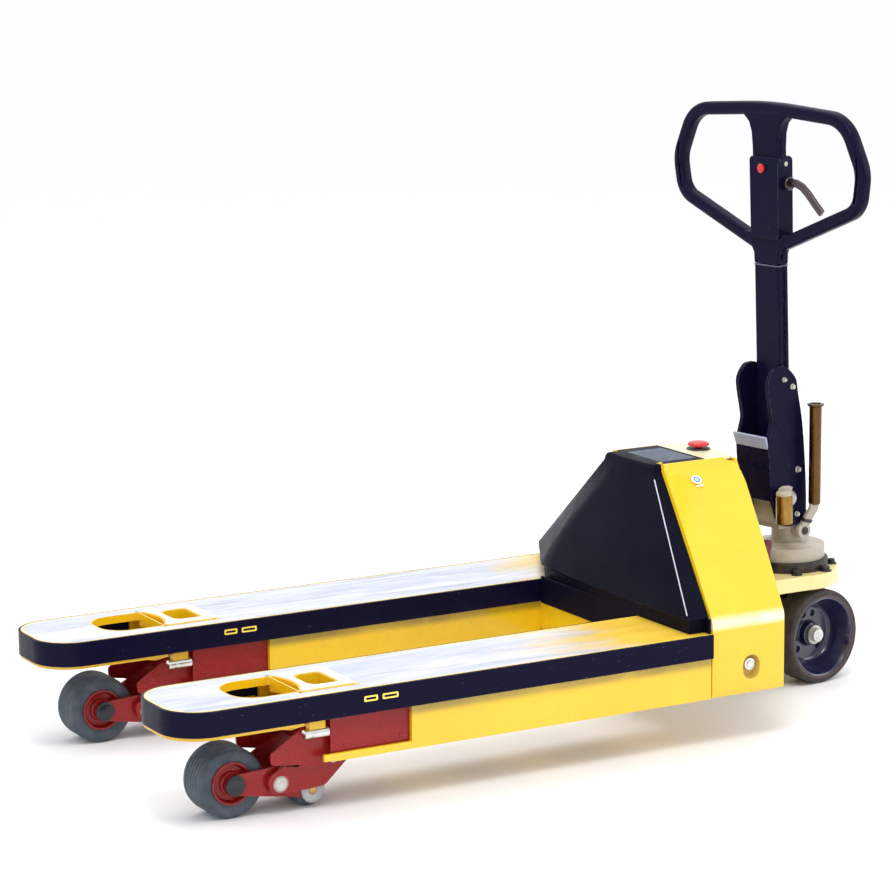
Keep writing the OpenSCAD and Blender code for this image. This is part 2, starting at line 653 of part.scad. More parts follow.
// Upright pipe lever of the parking brake, on a bent flat arm
module brake_lever() color("peru") steer() {
    translate([0, 0, lever_z]) difference() {
        cyl_y(15, -46, -36 - gap);
        cyl_y(6, -60, -30);
    }
    translate([0, 0, lever_z]) cyl_y(6, -49, -36 - gap + 0.01);
    hull() {
        translate([-2, -50, lever_z + 6]) cube([18, 8, 8]);
        translate([0, -64, lever_z + 54]) cube([18, 8, 8]);
    }
    translate([pipe_x, pipe_y, lever_z + 52]) cylinder(r = 11, h = 178);
    translate([pipe_x, pipe_y, lever_z + 228]) cylinder(r1 = 11, r2 = 15, h = 6);
    translate([pipe_x, pipe_y, lever_z + 234]) cylinder(r = 15, h = 4);
}

// ---------- drawbar ----------
// The drawbar leans a little over the hinge when it stands upright
module drawbar() steer() translate([-hinge_x, 0, hinge_z]) rotate([0, -drawbar_lean, 0])
    translate([hinge_x, 0, -hinge_z]) children();
module yoke_outline() {
    hull() {
        translate([-hinge_x + 6, hinge_z - 20]) circle(30, $fn = SOFT);
        translate([-hinge_x + 2, hinge_z + 60]) circle(40, $fn = SOFT);
    }
    hull() {
        translate([-hinge_x + 2, hinge_z + 60]) circle(40, $fn = SOFT);
        translate([-hinge_x - 2, yoke_top_z - 70]) circle(37, $fn = SOFT);
        translate([-hinge_x - 6, yoke_top_z - 26]) circle(26, $fn = SOFT);
    }
}
module yoke_plates() color("midnightblue") drawbar() {
    for (s = [-1, 1]) scale_y(s) slab_y(yoke_y, yoke_y + yoke_t) difference() {
        yoke_outline();
        translate([-hinge_x, hinge_z]) circle(tilt_pin_r);
        translate([-hinge_x + 12, hinge_z - 26]) circle(5);
    }
    // spreader between the plates, below the column
    box([-hinge_x - 24, -yoke_y - 0.01, hinge_z + 66], [-hinge_x + 26, yoke_y + 0.01, hinge_z + 74]);
}
module yoke_bolts() color("silver") drawbar() {
    translate([-hinge_x, 0, hinge_z]) cyl_y(tilt_pin_r, -yoke_y - yoke_t - 4, yoke_y + yoke_t + 4);
    for (s = [-1, 1]) scale_y(s) {
        translate([-hinge_x, 0, hinge_z]) cyl_y(15, yoke_y + yoke_t, yoke_y + yoke_t + 8);
        translate([-hinge_x + 22, 0, hinge_z + 42]) hex_y(6, yoke_y + yoke_t, yoke_y + yoke_t + 5);
        for (z = [yoke_top_z - 110, yoke_top_z - 40]) translate([column_x, 0, z]) hex_y(7, yoke_y + yoke_t, yoke_y + yoke_t + 5);
    }
}
module tilt_spring() color("goldenrod") drawbar() {
    translate([-hinge_x - 26, -yoke_y - yoke_t - 17, hinge_z - 40]) cylinder(r = 15, h = 58);
    translate([-hinge_x - 26, -yoke_y - yoke_t - 17, hinge_z + 17.9]) cylinder(r = 12, h = 5);
    box([-hinge_x - 32, -yoke_y - yoke_t - 8, hinge_z - 20], [-hinge_x - 16, -yoke_y - yoke_t, hinge_z + 10]);
}
module drawbar_tube() color("midnightblue") drawbar() {
    difference() {
        box([column_x - column_w / 2, -column_d / 2, hinge_z + 76], [column_x + column_w / 2, column_d / 2, seam_z]);
        box([column_x - column_w / 2 + 4, -column_d / 2 + 4, hinge_z + 70], [column_x + column_w / 2 - 4, column_d / 2 - 4, seam_z + 1]);
    }
    for (s = [-1, 1]) scale_y(s) box([column_x - column_w / 2, column_d / 2 - 0.01, hinge_z + 90], [column_x + column_w / 2, yoke_y, hinge_z + 200]);
}

// Handle loop: corners of one side as [half width, height, bend radius], and mirroring gives the other
loop_pts = [
    [-1, loop_top, 0], [loop_half_w - 34, loop_top, 62], [loop_half_w, loop_top - 100, 60],
    [loop_half_w - 10, loop_top - 160, 40], [0, loop_top - 252, 30]
];
// The lowest corner lies on the middle line, so its far side is the mirror image
function corner(i) = i < len(loop_pts) ? loop_pts[i] : [-loop_pts[i - 2][0], loop_pts[i - 2][1], 0];
function xy(p) = [p[0], p[1]];
function dir(p, q) = (xy(q) - xy(p)) / norm(xy(q) - xy(p));
function heading(d) = atan2(d[1], d[0]);
function turn_at(i) = heading(dir(corner(i - 1), corner(i))) - heading(dir(corner(i), corner(i + 1)));
function turn(i) = turn_at(i) < 0 ? turn_at(i) + 360 : turn_at(i);
function cut(i) = corner(i)[2] * tan(turn(i) / 2);
function bend_centre(i) = let (d = dir(corner(i - 1), corner(i)))
    xy(corner(i)) - d * cut(i) + corner(i)[2] * [d[1], -d[0]];
// Outline of the loop, grown outwards from the middle line of the bar
module loop_outline(grow) hull() for (i = [1 : len(loop_pts) - 1], m = [-1, 1])
    translate([m * bend_centre(i)[0], bend_centre(i)[1]]) circle(loop_pts[i][2] + grow, $fn = 64);
module loop_band(half_t, half_w) translate([-half_t, 0, 0]) rotate([90, 0, 90]) linear_extrude(2 * half_t)
    difference() {
        loop_outline(half_w);
        loop_outline(-half_w);
    }
module handle_loop() color("midnightblue") drawbar() translate([column_x, 0, 0]) {
    // the bar is a stepped round: a wide middle band and a narrower, deeper one
    loop_band(bar_r * 0.6, bar_r);
    loop_band(bar_r, bar_r * 0.6);
    // centre stem and its head, and the neck over the column
    difference() {
        box([-16, -30, seam_z + gap], [16, 30, handle_top_z - 70]);
        translate([-8, 0, button_z]) rotate([0, -90, 0]) cylinder(r = 6 + run, h = 40);
    }
    difference() {
        box([-18, -38, handle_top_z - 240], [18, 38, handle_top_z - 96]);
        translate([-8, 0, button_z]) rotate([0, -90, 0]) cylinder(r = 6 + run, h = 40);
    }
    box([-13, -30, handle_top_z - 72], [13, 30, handle_top_z - 14]);
    box([-8, -26, seam_z - 40], [8, 26, seam_z + 1]);
}
// Button on the fork side of the handle head
module thumb_button() color("red") drawbar() translate([column_x, 0, button_z]) rotate([0, -90, 0]) {
    translate([0, 0, 12]) cylinder(r = 6, h = 9);
    translate([0, 0, 20.9]) cylinder(r = 8, h = 3);
}
module control_lever() color("darkslateblue") drawbar() translate([column_x, 0, 0]) {
    translate([lever_px, 0, lever_pz]) cyl_y(7, -58, -38 - gap);
    hull() {
        translate([lever_px - 2, -56, lever_pz - 4]) cube([8, 10, 8]);
        translate([lever_px + 12, -84, lever_pz + 4]) cube([8, 10, 8]);
    }
    hull() {
        translate([lever_px + 12, -84, lever_pz + 4]) cube([8, 10, 8]);
        translate([lever_px + 10, -128, lever_pz - 42]) cube([6, 8, 6]);
    }
}

// ---------- what is drawn ----------
chassis_plate();
turntable_ring();
ring_bolts();
lift_cylinder();
pump_block();
pump_motor();
oil_tank();
hose_connectors();
motor_controller();
fork_top_left();
fork_top_right();
fork_trim_left();
fork_trim_right();
nose_insert_left();
nose_insert_right();
fork_beam_left();
fork_beam_right();
frame_fasteners();
heel_frame();
lift_ram();
battery();
front_cover();
side_panel_left();
side_panel_right();
top_cover();
rear_cover();
vent_grille();
arm_brackets();
stop_collar();
stop_button();
load_arm_left();
load_arm_right();
arm_pins();
arm_bushes_left();
arm_bushes_right();
bogie_left();
bogie_right();
load_tyre_left();
load_tyre_right();
load_hub_left();
load_hub_right();
roller_left();
roller_right();
push_rod_left();
push_rod_right();
steer_disc();
steer_fork();
steer_axle();
steer_tyre_left();
steer_tyre_right();
steer_hub_left();
steer_hub_right();
tilt_spring();
yoke_plates();
yoke_bolts();
drawbar_tube();
handle_loop();
thumb_button();
control_lever();
brake_lever();
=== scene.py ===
"""Pallet jack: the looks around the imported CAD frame. Metres, in the CAD frame."""

import json
import math

import bmesh
import bpy
from mathutils import Euler, Matrix, Vector
from mathutils.geometry import tessellate_polygon


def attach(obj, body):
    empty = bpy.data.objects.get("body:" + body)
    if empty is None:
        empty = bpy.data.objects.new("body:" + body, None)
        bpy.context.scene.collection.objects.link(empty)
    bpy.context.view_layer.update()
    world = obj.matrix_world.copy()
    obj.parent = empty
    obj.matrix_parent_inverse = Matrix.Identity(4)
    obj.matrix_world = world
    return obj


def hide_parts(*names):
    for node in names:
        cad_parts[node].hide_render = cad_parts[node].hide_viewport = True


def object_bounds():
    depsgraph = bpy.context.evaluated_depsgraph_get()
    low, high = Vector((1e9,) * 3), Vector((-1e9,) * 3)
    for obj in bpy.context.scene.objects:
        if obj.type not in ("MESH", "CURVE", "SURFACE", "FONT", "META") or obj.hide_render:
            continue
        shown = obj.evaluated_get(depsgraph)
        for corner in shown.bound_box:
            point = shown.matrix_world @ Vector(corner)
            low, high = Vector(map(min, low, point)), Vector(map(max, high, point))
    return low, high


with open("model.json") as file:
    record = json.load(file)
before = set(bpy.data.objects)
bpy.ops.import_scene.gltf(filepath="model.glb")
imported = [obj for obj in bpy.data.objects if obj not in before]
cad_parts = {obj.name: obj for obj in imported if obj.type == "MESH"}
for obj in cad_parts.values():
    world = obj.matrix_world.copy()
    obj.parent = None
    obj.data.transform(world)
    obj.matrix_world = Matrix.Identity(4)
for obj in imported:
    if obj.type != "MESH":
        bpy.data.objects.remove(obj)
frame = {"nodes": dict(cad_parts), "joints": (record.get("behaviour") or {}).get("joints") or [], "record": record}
frame_lo, frame_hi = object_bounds()
scene = bpy.context.scene

MM = 0.001
TIP_X = frame_lo.x
JOINTS = {j["name"]: j for j in frame["joints"]}


def joint_place(name):
    return Vector(JOINTS[name]["pos_m"])


def joint_axis(name):
    return Vector(JOINTS[name]["axis"]).normalized()


# The frames that the pieces are modelled in: the truck from its fork tips, the steering unit
# as it is turned, the leaning drawbar and each fork.
TRUCK = Matrix.Translation((TIP_X, 0, 0))
steer_at = joint_place("steer")
wheel_axis = joint_axis("steer_wheel_spin_left")
steer_angle = math.atan2(-wheel_axis.x, wheel_axis.y)
STEER = Matrix.Translation((steer_at.x, steer_at.y, 0)) @ Matrix.Rotation(steer_angle, 4, "Z")
tilt_at = STEER.inverted() @ joint_place("drawbar_tilt")
LEAN = math.radians(2)
DRAWBAR = (
    STEER
    @ Matrix.Translation(tilt_at)
    @ Matrix.Rotation(-LEAN, 4, "Y")
    @ Matrix.Translation(-tilt_at)
)
FORK_CENTRE_Y = 0.249
FORK = {
    side: TRUCK @ Matrix.Translation((0, y, 0))
    for side, y in (("left", -FORK_CENTRE_Y), ("right", FORK_CENTRE_Y))
}


# ---------- materials ----------
# The edge mask (worn edges and a painted highlight) starts where the rounded normal leaves the flat one.
EDGE_REACH, EDGE_STARTS, EDGE_FULL = 0.0015, 1 - 0.02, 1 - 0.16


class Graph:
    """A material, with short names for the nodes that it is made of."""

    def __init__(self, name):
        self.mat = bpy.data.materials.new(name)
        self.mat.use_nodes = True
        self.tree = self.mat.node_tree
        self.tree.nodes.clear()
        out = self.node("ShaderNodeOutputMaterial")
        self.bsdf = self.node("ShaderNodeBsdfPrincipled")
        self.link(self.bsdf.outputs[0], out.inputs[0])
        self.coords = self.node("ShaderNodeTexCoord").outputs["Object"]

    def node(self, kind, **values):
        made = self.tree.nodes.new(kind)
        for key, value in values.items():
            setattr(made, key, value)
        return made

    def link(self, a, b):
        self.tree.links.new(a, b)

    def noise(self, scale, detail=4, rough=0.6, stretch=(1, 1, 1), seed=0.0):
        mapping = self.node("ShaderNodeMapping")
        mapping.inputs["Scale"].default_value = stretch
        mapping.inputs["Location"].default_value = (seed, seed * 0.7, seed * 1.3)
        self.link(self.coords, mapping.inputs[0])
        tex = self.node("ShaderNodeTexNoise")
        tex.inputs["Scale"].default_value = scale
        tex.inputs["Detail"].default_value = detail
        tex.inputs["Roughness"].default_value = rough
        self.link(mapping.outputs[0], tex.inputs["Vector"])
        return tex.outputs["Fac"]

    def ramp(self, value, low, high, a=0.0, b=1.0):
        made = self.node("ShaderNodeMapRange")
        for key, number in zip(("From Min", "From Max", "To Min", "To Max"), (low, high, a, b)):
            made.inputs[key].default_value = number
        self.link(value, made.inputs["Value"])
        return made.outputs[0]

    def math(self, kind, a, b):
        made = self.node("ShaderNodeMath", operation=kind)
        for socket, value in zip(made.inputs, (a, b)):
            if isinstance(value, (int, float)):
                socket.default_value = value
            else:
                self.link(value, socket)
        return made.outputs[0]

    def mix(self, fac, a, b):
        made = self.node("ShaderNodeMix", data_type="RGBA")
        for socket, value in ((made.inputs[0], fac), (made.inputs[6], a), (made.inputs[7], b)):
            if isinstance(value, tuple):
                socket.default_value = (*value, 1)
            elif isinstance(value, float):
                socket.default_value = value
            else:
                self.link(value, socket)
        return made.outputs[2]

    def axis(self, index):
        made = self.node("ShaderNodeSeparateXYZ")
        self.link(self.coords, made.inputs[0])
        return made.outputs[index]

    def edges(self):
        """1 near a sharp edge, 0 away from it."""
        soft = self.node("ShaderNodeBevel", samples=4)
        soft.inputs["Radius"].default_value = EDGE_REACH
        plain = self.node("ShaderNodeNewGeometry")
        dot = self.node("ShaderNodeVectorMath", operation="DOT_PRODUCT")
        self.link(soft.outputs[0], dot.inputs[0])
        self.link(plain.outputs["Normal"], dot.inputs[1])
        return self.ramp(dot.outputs["Value"], EDGE_STARTS, EDGE_FULL)

    def bump(self, height, strength, distance=0.0004):
        made = self.node("ShaderNodeBump")
        made.inputs["Strength"].default_value = strength
        made.inputs["Distance"].default_value = distance
        self.link(height, made.inputs["Height"])
        self.link(made.outputs[0], self.bsdf.inputs["Normal"])

    def shade(self, colour=None, rough=None, **constants):
        for key, value in (("Base Color", colour), ("Roughness", rough)):
            if isinstance(value, tuple):
                self.bsdf.inputs[key].default_value = (*value, 1)
            elif isinstance(value, (int, float)):
                self.bsdf.inputs[key].default_value = value
            elif value is not None:
                self.link(value, self.bsdf.inputs[key])
        for key, value in constants.items():
            self.bsdf.inputs[key.replace("_", " ")].default_value = value
        return self.mat


def paint(name, colour, worn, rough=0.3, wear=0.5, dirt=0.35, coat=0.25, gloss=0.5, crease=None):
    """Enamel: slow colour drift, dirt blotches, chips, edges in the worn colour (rubbed paint and a painted
    highlight) and orange-peel bump.

    crease is the height in metres of a band painted in the worn colour: a painted highlight along the side panel's
    crease, a painted shadow under the fork trim.
    """
    g = Graph(name)
    drift = g.ramp(g.noise(5, 3), 0.3, 0.7)
    dull = tuple(c * (1 - dirt * 0.5) for c in colour)
    base = g.mix(drift, colour, dull)
    blotch = g.ramp(g.noise(28, 8, 0.75, seed=3), 0.56, 0.74, 0, dirt)
    base = g.mix(blotch, base, tuple(c * 0.35 + 0.02 for c in colour))
    chips = g.ramp(g.noise(160, 6, 0.7, seed=8), 0.46, 0.56)
    # edges in the worn colour: rubbed paint, and a painted highlight where that colour is light
    edge_wear_and_highlight = g.math("MULTIPLY", g.math("MULTIPLY", g.edges(), chips), wear)
    specks = g.ramp(g.noise(420, 2, 0.5, (0.25, 1, 1), seed=5), 0.735, 0.75, 0, wear * 0.6)
    base = g.mix(g.math("MAXIMUM", edge_wear_and_highlight, specks), base, worn)
    g.bump(g.math("ADD", g.noise(700, 2), g.math("MULTIPLY", edge_wear_and_highlight, -1.5)), 0.12)
    rough_map = g.ramp(g.noise(40, 6, seed=2), 0.3, 0.8, rough * 0.75, rough * 1.5)
    # painted band at height crease: a painted highlight on the side panel, a painted shadow on the fork beams
    if crease:
        off = g.math("ABSOLUTE", g.math("SUBTRACT", g.axis(2), crease), 0.0)
        painted_lighting_band = g.math("MULTIPLY", g.ramp(off, 0.013, 0.003), g.ramp(g.noise(9, 3, 0.5, (1, 1, 0.1)), 0.3,
            0.6, 0.45, 0.95))
        base = g.mix(painted_lighting_band, base, worn)
    return g.shade(base, rough_map, Coat_Weight=coat, Coat_Roughness=0.1, Specular_IOR_Level=gloss)


def plastic(name, colour, rough=0.42, grain=0.25, edge=(0.35, 0.36, 0.4), gloss=0.5):
    """Moulded plastic with a fine grain, a little lighter along its edges: rubbed wear and a painted highlight."""
    g = Graph(name)
    drift = g.ramp(g.noise(9, 4), 0.3, 0.75)
    base = g.mix(drift, colour, tuple(c * 1.35 + 0.003 for c in colour))
    scuffs = g.ramp(g.noise(60, 8, 0.8, (1, 1, 0.4), seed=4), 0.6, 0.8, 0, 0.16)
    base = g.mix(scuffs, base, edge)
    # lighter along the edges: rubbed wear and a painted highlight
    edge_wear_and_highlight = g.math("MULTIPLY", g.edges(), g.ramp(g.noise(130, 5, seed=6), 0.4, 0.7, 0, 0.35))
    base = g.mix(edge_wear_and_highlight, base, edge)
    g.bump(g.noise(1400, 3), grain, 0.0003)
    rough_map = g.ramp(g.noise(35, 6, seed=1), 0.3, 0.8, rough * 0.8, rough * 1.25)
    return g.shade(base, rough_map, Specular_IOR_Level=gloss)


def steel(name, colour, rough=0.35, metallic=0.85, rust=0.0, streak=(1, 1, 1)):
    """Bare or plated metal: brushed streaks, blotchy roughness and an optional brown bloom."""
    g = Graph(name)
    drift = g.ramp(g.noise(30, 6, seed=7), 0.3, 0.75)
    base = g.mix(drift, colour, tuple(c * 0.62 for c in colour))
    if rust:
        base = g.mix(g.ramp(g.noise(70, 8, 0.75, seed=9), 0.5, 0.72, 0, rust), base,
            (0.16, 0.07, 0.025))
    g.bump(g.noise(900, 3, 0.6, streak), 0.2)
    rough_map = g.ramp(g.noise(120, 5, 0.6, streak, seed=2), 0.3, 0.75, rough * 0.7, rough * 1.5)
    return g.shade(base, rough_map, Metallic=metallic)


def tyre(name, colour, dusty, rough=0.62):
    """Polyurethane or rubber: dull, dusty near the tread, with fine pits."""
    g = Graph(name)
    dust = g.ramp(g.noise(45, 8, 0.75), 0.42, 0.72, 0, 0.55)
    base = g.mix(dust, colour, dusty)
    g.bump(g.math("ADD", g.noise(260, 6, 0.7), g.noise(40, 3)), 0.35)
    return g.shade(base, g.ramp(g.noise(60, 4, seed=3), 0.3, 0.8, rough * 0.8, rough * 1.2))


def fork_top_paint(name):
    """Yellow plate, scuffed by pallets to a pale, streaky sheen, least next to the housing."""
    g = Graph(name)
    yellow = g.mix(g.ramp(g.noise(6, 4), 0.3, 0.7), (0.92, 0.60, 0.01), (0.80, 0.49, 0.01))
    pale = g.mix(g.ramp(g.noise(18, 8, 0.7, (0.16, 1, 1)), 0.36, 0.68), (0.68, 0.69, 0.74),
        (0.40, 0.44, 0.58))
    streaks = g.ramp(g.noise(55, 9, 0.75, (0.07, 1, 1), seed=2), 0.5, 0.63, 0, 0.75)
    pale = g.mix(streaks, pale, (0.28, 0.31, 0.42))
    along = g.ramp(g.math("SUBTRACT", g.axis(0), g.ramp(g.axis(1), -0.2, 0.2, 0, 0.24)), TIP_X + 0.50,
        TIP_X + 0.86)
    patch = g.math("ADD", along, g.ramp(g.noise(14, 8, 0.75, (0.3, 1, 1), seed=5), 0.3, 0.7, -0.42,
        0.42))
    worn = g.ramp(patch, 0.42, 0.98, 1, 0.06)
    base = g.mix(worn, yellow, pale)
    g.bump(g.math("ADD", g.noise(300, 8, 0.7, (0.08, 1, 1)), g.noise(90, 5)), 0.3)
    rough_map = g.ramp(g.noise(50, 8, 0.7, (0.1, 1, 1), seed=6), 0.3, 0.75, 0.22, 0.6)
    return g.shade(base, rough_map, Coat_Weight=0.2, Coat_Roughness=0.2)


YELLOW = paint("yellow_enamel", (0.90, 0.56, 0.004), (0.98, 0.88, 0.55), 0.28, 0.35, 0.14, 0.6)
# side panel yellow with a pale band along the crease: a painted highlight
YELLOW_PANEL_PAINTED_HIGHLIGHT = paint("yellow_enamel_painted_crease_highlight", (0.90, 0.56, 0.004), (1.0, 0.92, 0.66), 0.28, 0.35, 0.14,
    0.6, 0.5, 0.207)
CREAM = paint("cream_enamel", (0.88, 0.80, 0.50), (0.95, 0.93, 0.85), 0.3, 0.4, 0.2)
NAVY = paint("navy_enamel", (0.0045, 0.004, 0.021), (0.30, 0.32, 0.45), 0.3, 0.3, 0.1, 0.0, 0.07)
RED = paint("red_enamel", (0.30, 0.010, 0.011), (0.5, 0.3, 0.28), 0.26, 0.5, 0.45, 0.15, 0.25)
PALE_CREAM = paint("pale_cream_enamel", (0.93, 0.87, 0.66), (0.72, 0.5, 0.1), 0.35, 0.7, 0.2)
BEIGE = paint("beige_enamel", (0.50, 0.45, 0.36), (0.8, 0.78, 0.7), 0.4, 0.6, 0.55, 0.1)
GREY = paint("grey_enamel", (0.36, 0.39, 0.45), (0.7, 0.7, 0.7), 0.36, 0.5, 0.4, 0.2)
FORK_TOP = fork_top_paint("scuffed_fork_top")
COVER = plastic("navy_moulding", (0.0022, 0.0022, 0.0095), 0.4, 0.15, (0.05, 0.05, 0.09), 0.035)
BLACK = plastic("black_plastic", (0.012, 0.012, 0.013), 0.45, 0.3)
RED_PLASTIC = plastic("red_plastic", (0.52, 0.012, 0.012), 0.28, 0.1, (0.8, 0.3, 0.25))
CHROME = steel("chrome_plate", (0.85, 0.84, 0.80), 0.12, 1.0)
BOLT = steel("zinc_bolts", (0.62, 0.60, 0.54), 0.34, 0.9, 0.15)
IRON = steel("oiled_iron", (0.055, 0.05, 0.05), 0.42, 0.7, 0.4)
BRONZE = steel("golden_brown_steel", (0.15, 0.08, 0.03), 0.26, 0.95, 0.7, (1, 1, 0.2))
BRASS = steel("bearing_bronze", (0.6, 0.40, 0.14), 0.3, 1.0, 0.2)
ALUMINIUM = steel("cast_aluminium", (0.5, 0.5, 0.52), 0.45, 0.9, 0.05)
LOAD_TYRE = tyre("blue_grey_polyurethane", (0.035, 0.05, 0.07), (0.13, 0.15, 0.18))
DARK_TYRE = tyre("brown_black_rubber", (0.012, 0.009, 0.009), (0.07, 0.05, 0.042))

SLOT_MATERIAL = {
    "yellow_paint": YELLOW,
    "cream_paint": CREAM,
    "worn_white_paint": FORK_TOP,
    "navy_paint": NAVY,
    "navy_plastic": COVER,
    "red_paint": RED,
    "red_plastic": RED_PLASTIC,
    "black_plastic": BLACK,
    "grey_paint": GREY,
    "beige_paint": BEIGE,
    "dark_steel": IRON,
    "bolt_steel": BOLT,
    "chrome": CHROME,
    "aluminium": ALUMINIUM,
    "brass": BRASS,
    "bronze": BRONZE,
    "grey_tyre": LOAD_TYRE,
    "dark_tyre": DARK_TYRE,
}


def soften(ob, width, segments, angle):
    """Bevel of width millimetres on the edges sharper than angle degrees."""
    mod = ob.modifiers.new("soft_edges", "BEVEL")
    mod.width = width * MM
    mod.segments = segments
    mod.limit_method = "ANGLE"
    mod.angle_limit = math.radians(angle)
    mod.harden_normals = True


# CAD nodes that stay as they are: new material, clean seams, soft edges
EDGE_MM = {"yellow_paint": 1.6, "navy_paint": 1.4, "red_paint": 1.6, "cream_paint": 2.2}
for part in frame["record"]["subparts"]:
    ob = frame["nodes"][part["node"]]
    ob.data.materials.clear()
    ob.data.materials.append(SLOT_MATERIAL[part["material_slot"]])
    weld = ob.modifiers.new("weld", "WELD")
    weld.merge_threshold = 0.00001
    soften(ob, EDGE_MM.get(part["material_slot"], 0.8), 3, 38)


# ---------- mesh helpers: points in millimetres, in one of the frames above ----------
def to_mesh(name, bm, place):
    """Closed mesh in metres from bm, which is freed."""
    bmesh.ops.remove_doubles(bm, verts=bm.verts, dist=0.005)
    bmesh.ops.recalc_face_normals(bm, faces=bm.faces)
    bmesh.ops.transform(bm, matrix=place @ Matrix.Scale(MM, 4), verts=bm.verts)
    mesh = bpy.data.meshes.new(name)
    bm.to_mesh(mesh)
    bm.free()
    return mesh


def shade(mesh, angle):
    mesh.shade_smooth()
    mesh.set_sharp_from_angle(angle=math.radians(angle))


def add(name, bm, mat, body, place=TRUCK, bevel=0.0, segments=3, angle=32, replaces=()):
    """Turns bm into a finished piece of the object that rides on body."""
    mesh = to_mesh(name, bm, place)
    shade(mesh, angle)
    ob = bpy.data.objects.new(name, mesh)
    scene.collection.objects.link(ob)
    mesh.materials.append(mat)
    if bevel:
        soften(ob, bevel, segments, angle)
    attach(ob, body)
    if replaces:
        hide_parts(*replaces)
    return ob


def arc(cx, cy, r, start, end, steps=8):
    """Points on an arc, angles in degrees."""
    turns = (math.radians(start + (end - start) * i / steps) for i in range(steps + 1))
    return [(cx + r * math.cos(t), cy + r * math.sin(t)) for t in turns]


def rounded(corners, steps=6):
    """Outline through corners given as (u, v, radius)."""
    out = []
    n = len(corners)
    for i, (u, v, r) in enumerate(corners):
        here = Vector((u, v))
        back = Vector(corners[i - 1][:2]) - here
        on = Vector(corners[(i + 1) % n][:2]) - here
        if r <= 0:
            out.append((u, v))
            continue
        half = back.angle(on) / 2
        reach = min(r / math.tan(half), back.length * 0.5, on.length * 0.5)
        radius = reach * math.tan(half)
        a = here + back.normalized() * reach
        middle = here + (back.normalized() + on.normalized()).normalized() * radius / math.sin(half)
        start = a - middle
        swing = math.pi - 2 * half
        sign = 1 if back.x * on.y - back.y * on.x < 0 else -1
        for k in range(steps + 1):
            turn = Matrix.Rotation(sign * swing * k / steps, 2)
            out.append(tuple(middle + turn @ start))
    return out


def rect(u0, v0, u1, v1, r=0, steps=6):
    return rounded([(u0, v0, r), (u1, v0, r), (u1, v1, r), (u0, v1, r)], steps)


def symmetric(u0, u1, half, r0, r1, steps):
    """Outline from u0 to u1 and half to each side, with its corner radii at either end."""
    return rounded([(u0, -half, r0), (u1, -half, r1), (u1, half, r1), (u0, half, r0)], steps)


def circle(u, v, r, n=32):
    return arc(u, v, r, 0, 360 * (n - 1) / n, n - 1)


def slot_outline(u, v, half_long, r, n=10):
    """Upright slot with round ends."""
    return arc(u, v + half_long, r, 0, 180, n) + arc(u, v - half_long, r, 180, 360, n)


TO_3D = {
    "x": lambda u, v, t: (t, u, v),
    "y": lambda u, v, t: (u, t, v),
    "z": lambda u, v, t: (u, v, t),
}


def prism(bm, loops, axis, low, high):
    """Plate with the outline loops[0] and the holes loops[1:], from low to high along axis."""
    put = TO_3D[axis]
    flat = [p for loop in loops for p in loop]
    tris = tessellate_polygon([[Vector((u, v, 0)) for u, v in loop] for loop in loops])
    sides = []
    for t in (low, high):
        verts = [bm.verts.new(put(u, v, t)) for u, v in flat]
        for tri in tris:
            try:
                bm.faces.new([verts[i] for i in tri])
            except ValueError:
                pass
        sides.append(verts)
    first = 0
    for loop in loops:
        n = len(loop)
        for i in range(n):
            a, b = first + i, first + (i + 1) % n
            bm.faces.new((sides[0][a], sides[0][b], sides[1][b], sides[1][a]))
        first += n


def block(bm, low, high):
    prism(bm, [[(low[0], low[1]), (high[0], low[1]), (high[0], high[1]), (low[0], high[1])]], "z",
        low[2], high[2])


def lathe(bm, profile, axis, centre, n=48):
    """Turned part: profile is (radius, place along axis) from one end to the other."""
    put = TO_3D[axis]
    cu, cv = centre
    rings = []
    for r, t in profile:
        if r < 0.01:
            rings.append([bm.verts.new(put(cu, cv, t))])
        else:
            rings.append([bm.verts.new(put(u, v, t)) for u, v in circle(cu, cv, r, n)])
    skin(bm, rings)


def skin(bm, rings, closed=True, cap=False):
    for a, b in zip(rings, rings[1:]):
        n = max(len(a), len(b))
        for i in range(n if closed else n - 1):
            k = (i + 1) % n
            corners = [a[i % len(a)], a[k % len(a)], b[k % len(b)], b[i % len(b)]]
            face = list(dict.fromkeys(corners))
            if len(face) > 2:
                bm.faces.new(face)
    if cap:
        for ring in (rings[0], rings[-1]):
            if len(ring) > 2:
                bm.faces.new(ring)


def grid(bm, rows):
    """Open sheet through rows of 3-D points."""
    skin(bm, [[bm.verts.new(p) for p in row] for row in rows], closed=False)


def sweep(bm, path, section, up=(1, 0, 0), closed=False):
    """Section, as (side, along up) points, carried along a path that stays square to up."""
    up = Vector(up)
    path = [Vector(p) for p in path]
    n = len(path)
    rings = []
    for i, p in enumerate(path):
        if closed:
            ahead = path[(i + 1) % n] - path[i - 1]
        else:
            ahead = path[min(i + 1, n - 1)] - path[max(i - 1, 0)]
        side = ahead.normalized().cross(up).normalized()
        top = side.cross(ahead.normalized()).normalized()
        rings.append([bm.verts.new(p + side * u + top * v) for u, v in section])
    if closed:
        rings.append(rings[0])
    skin(bm, rings, cap=not closed)


def solidify(ob, thick, offset=-1):
    mod = ob.modifiers.new("wall", "SOLIDIFY")
    mod.thickness = thick * MM
    mod.offset = offset
    mod.use_even_offset = True
    ob.modifiers.move(len(ob.modifiers) - 1, 0)


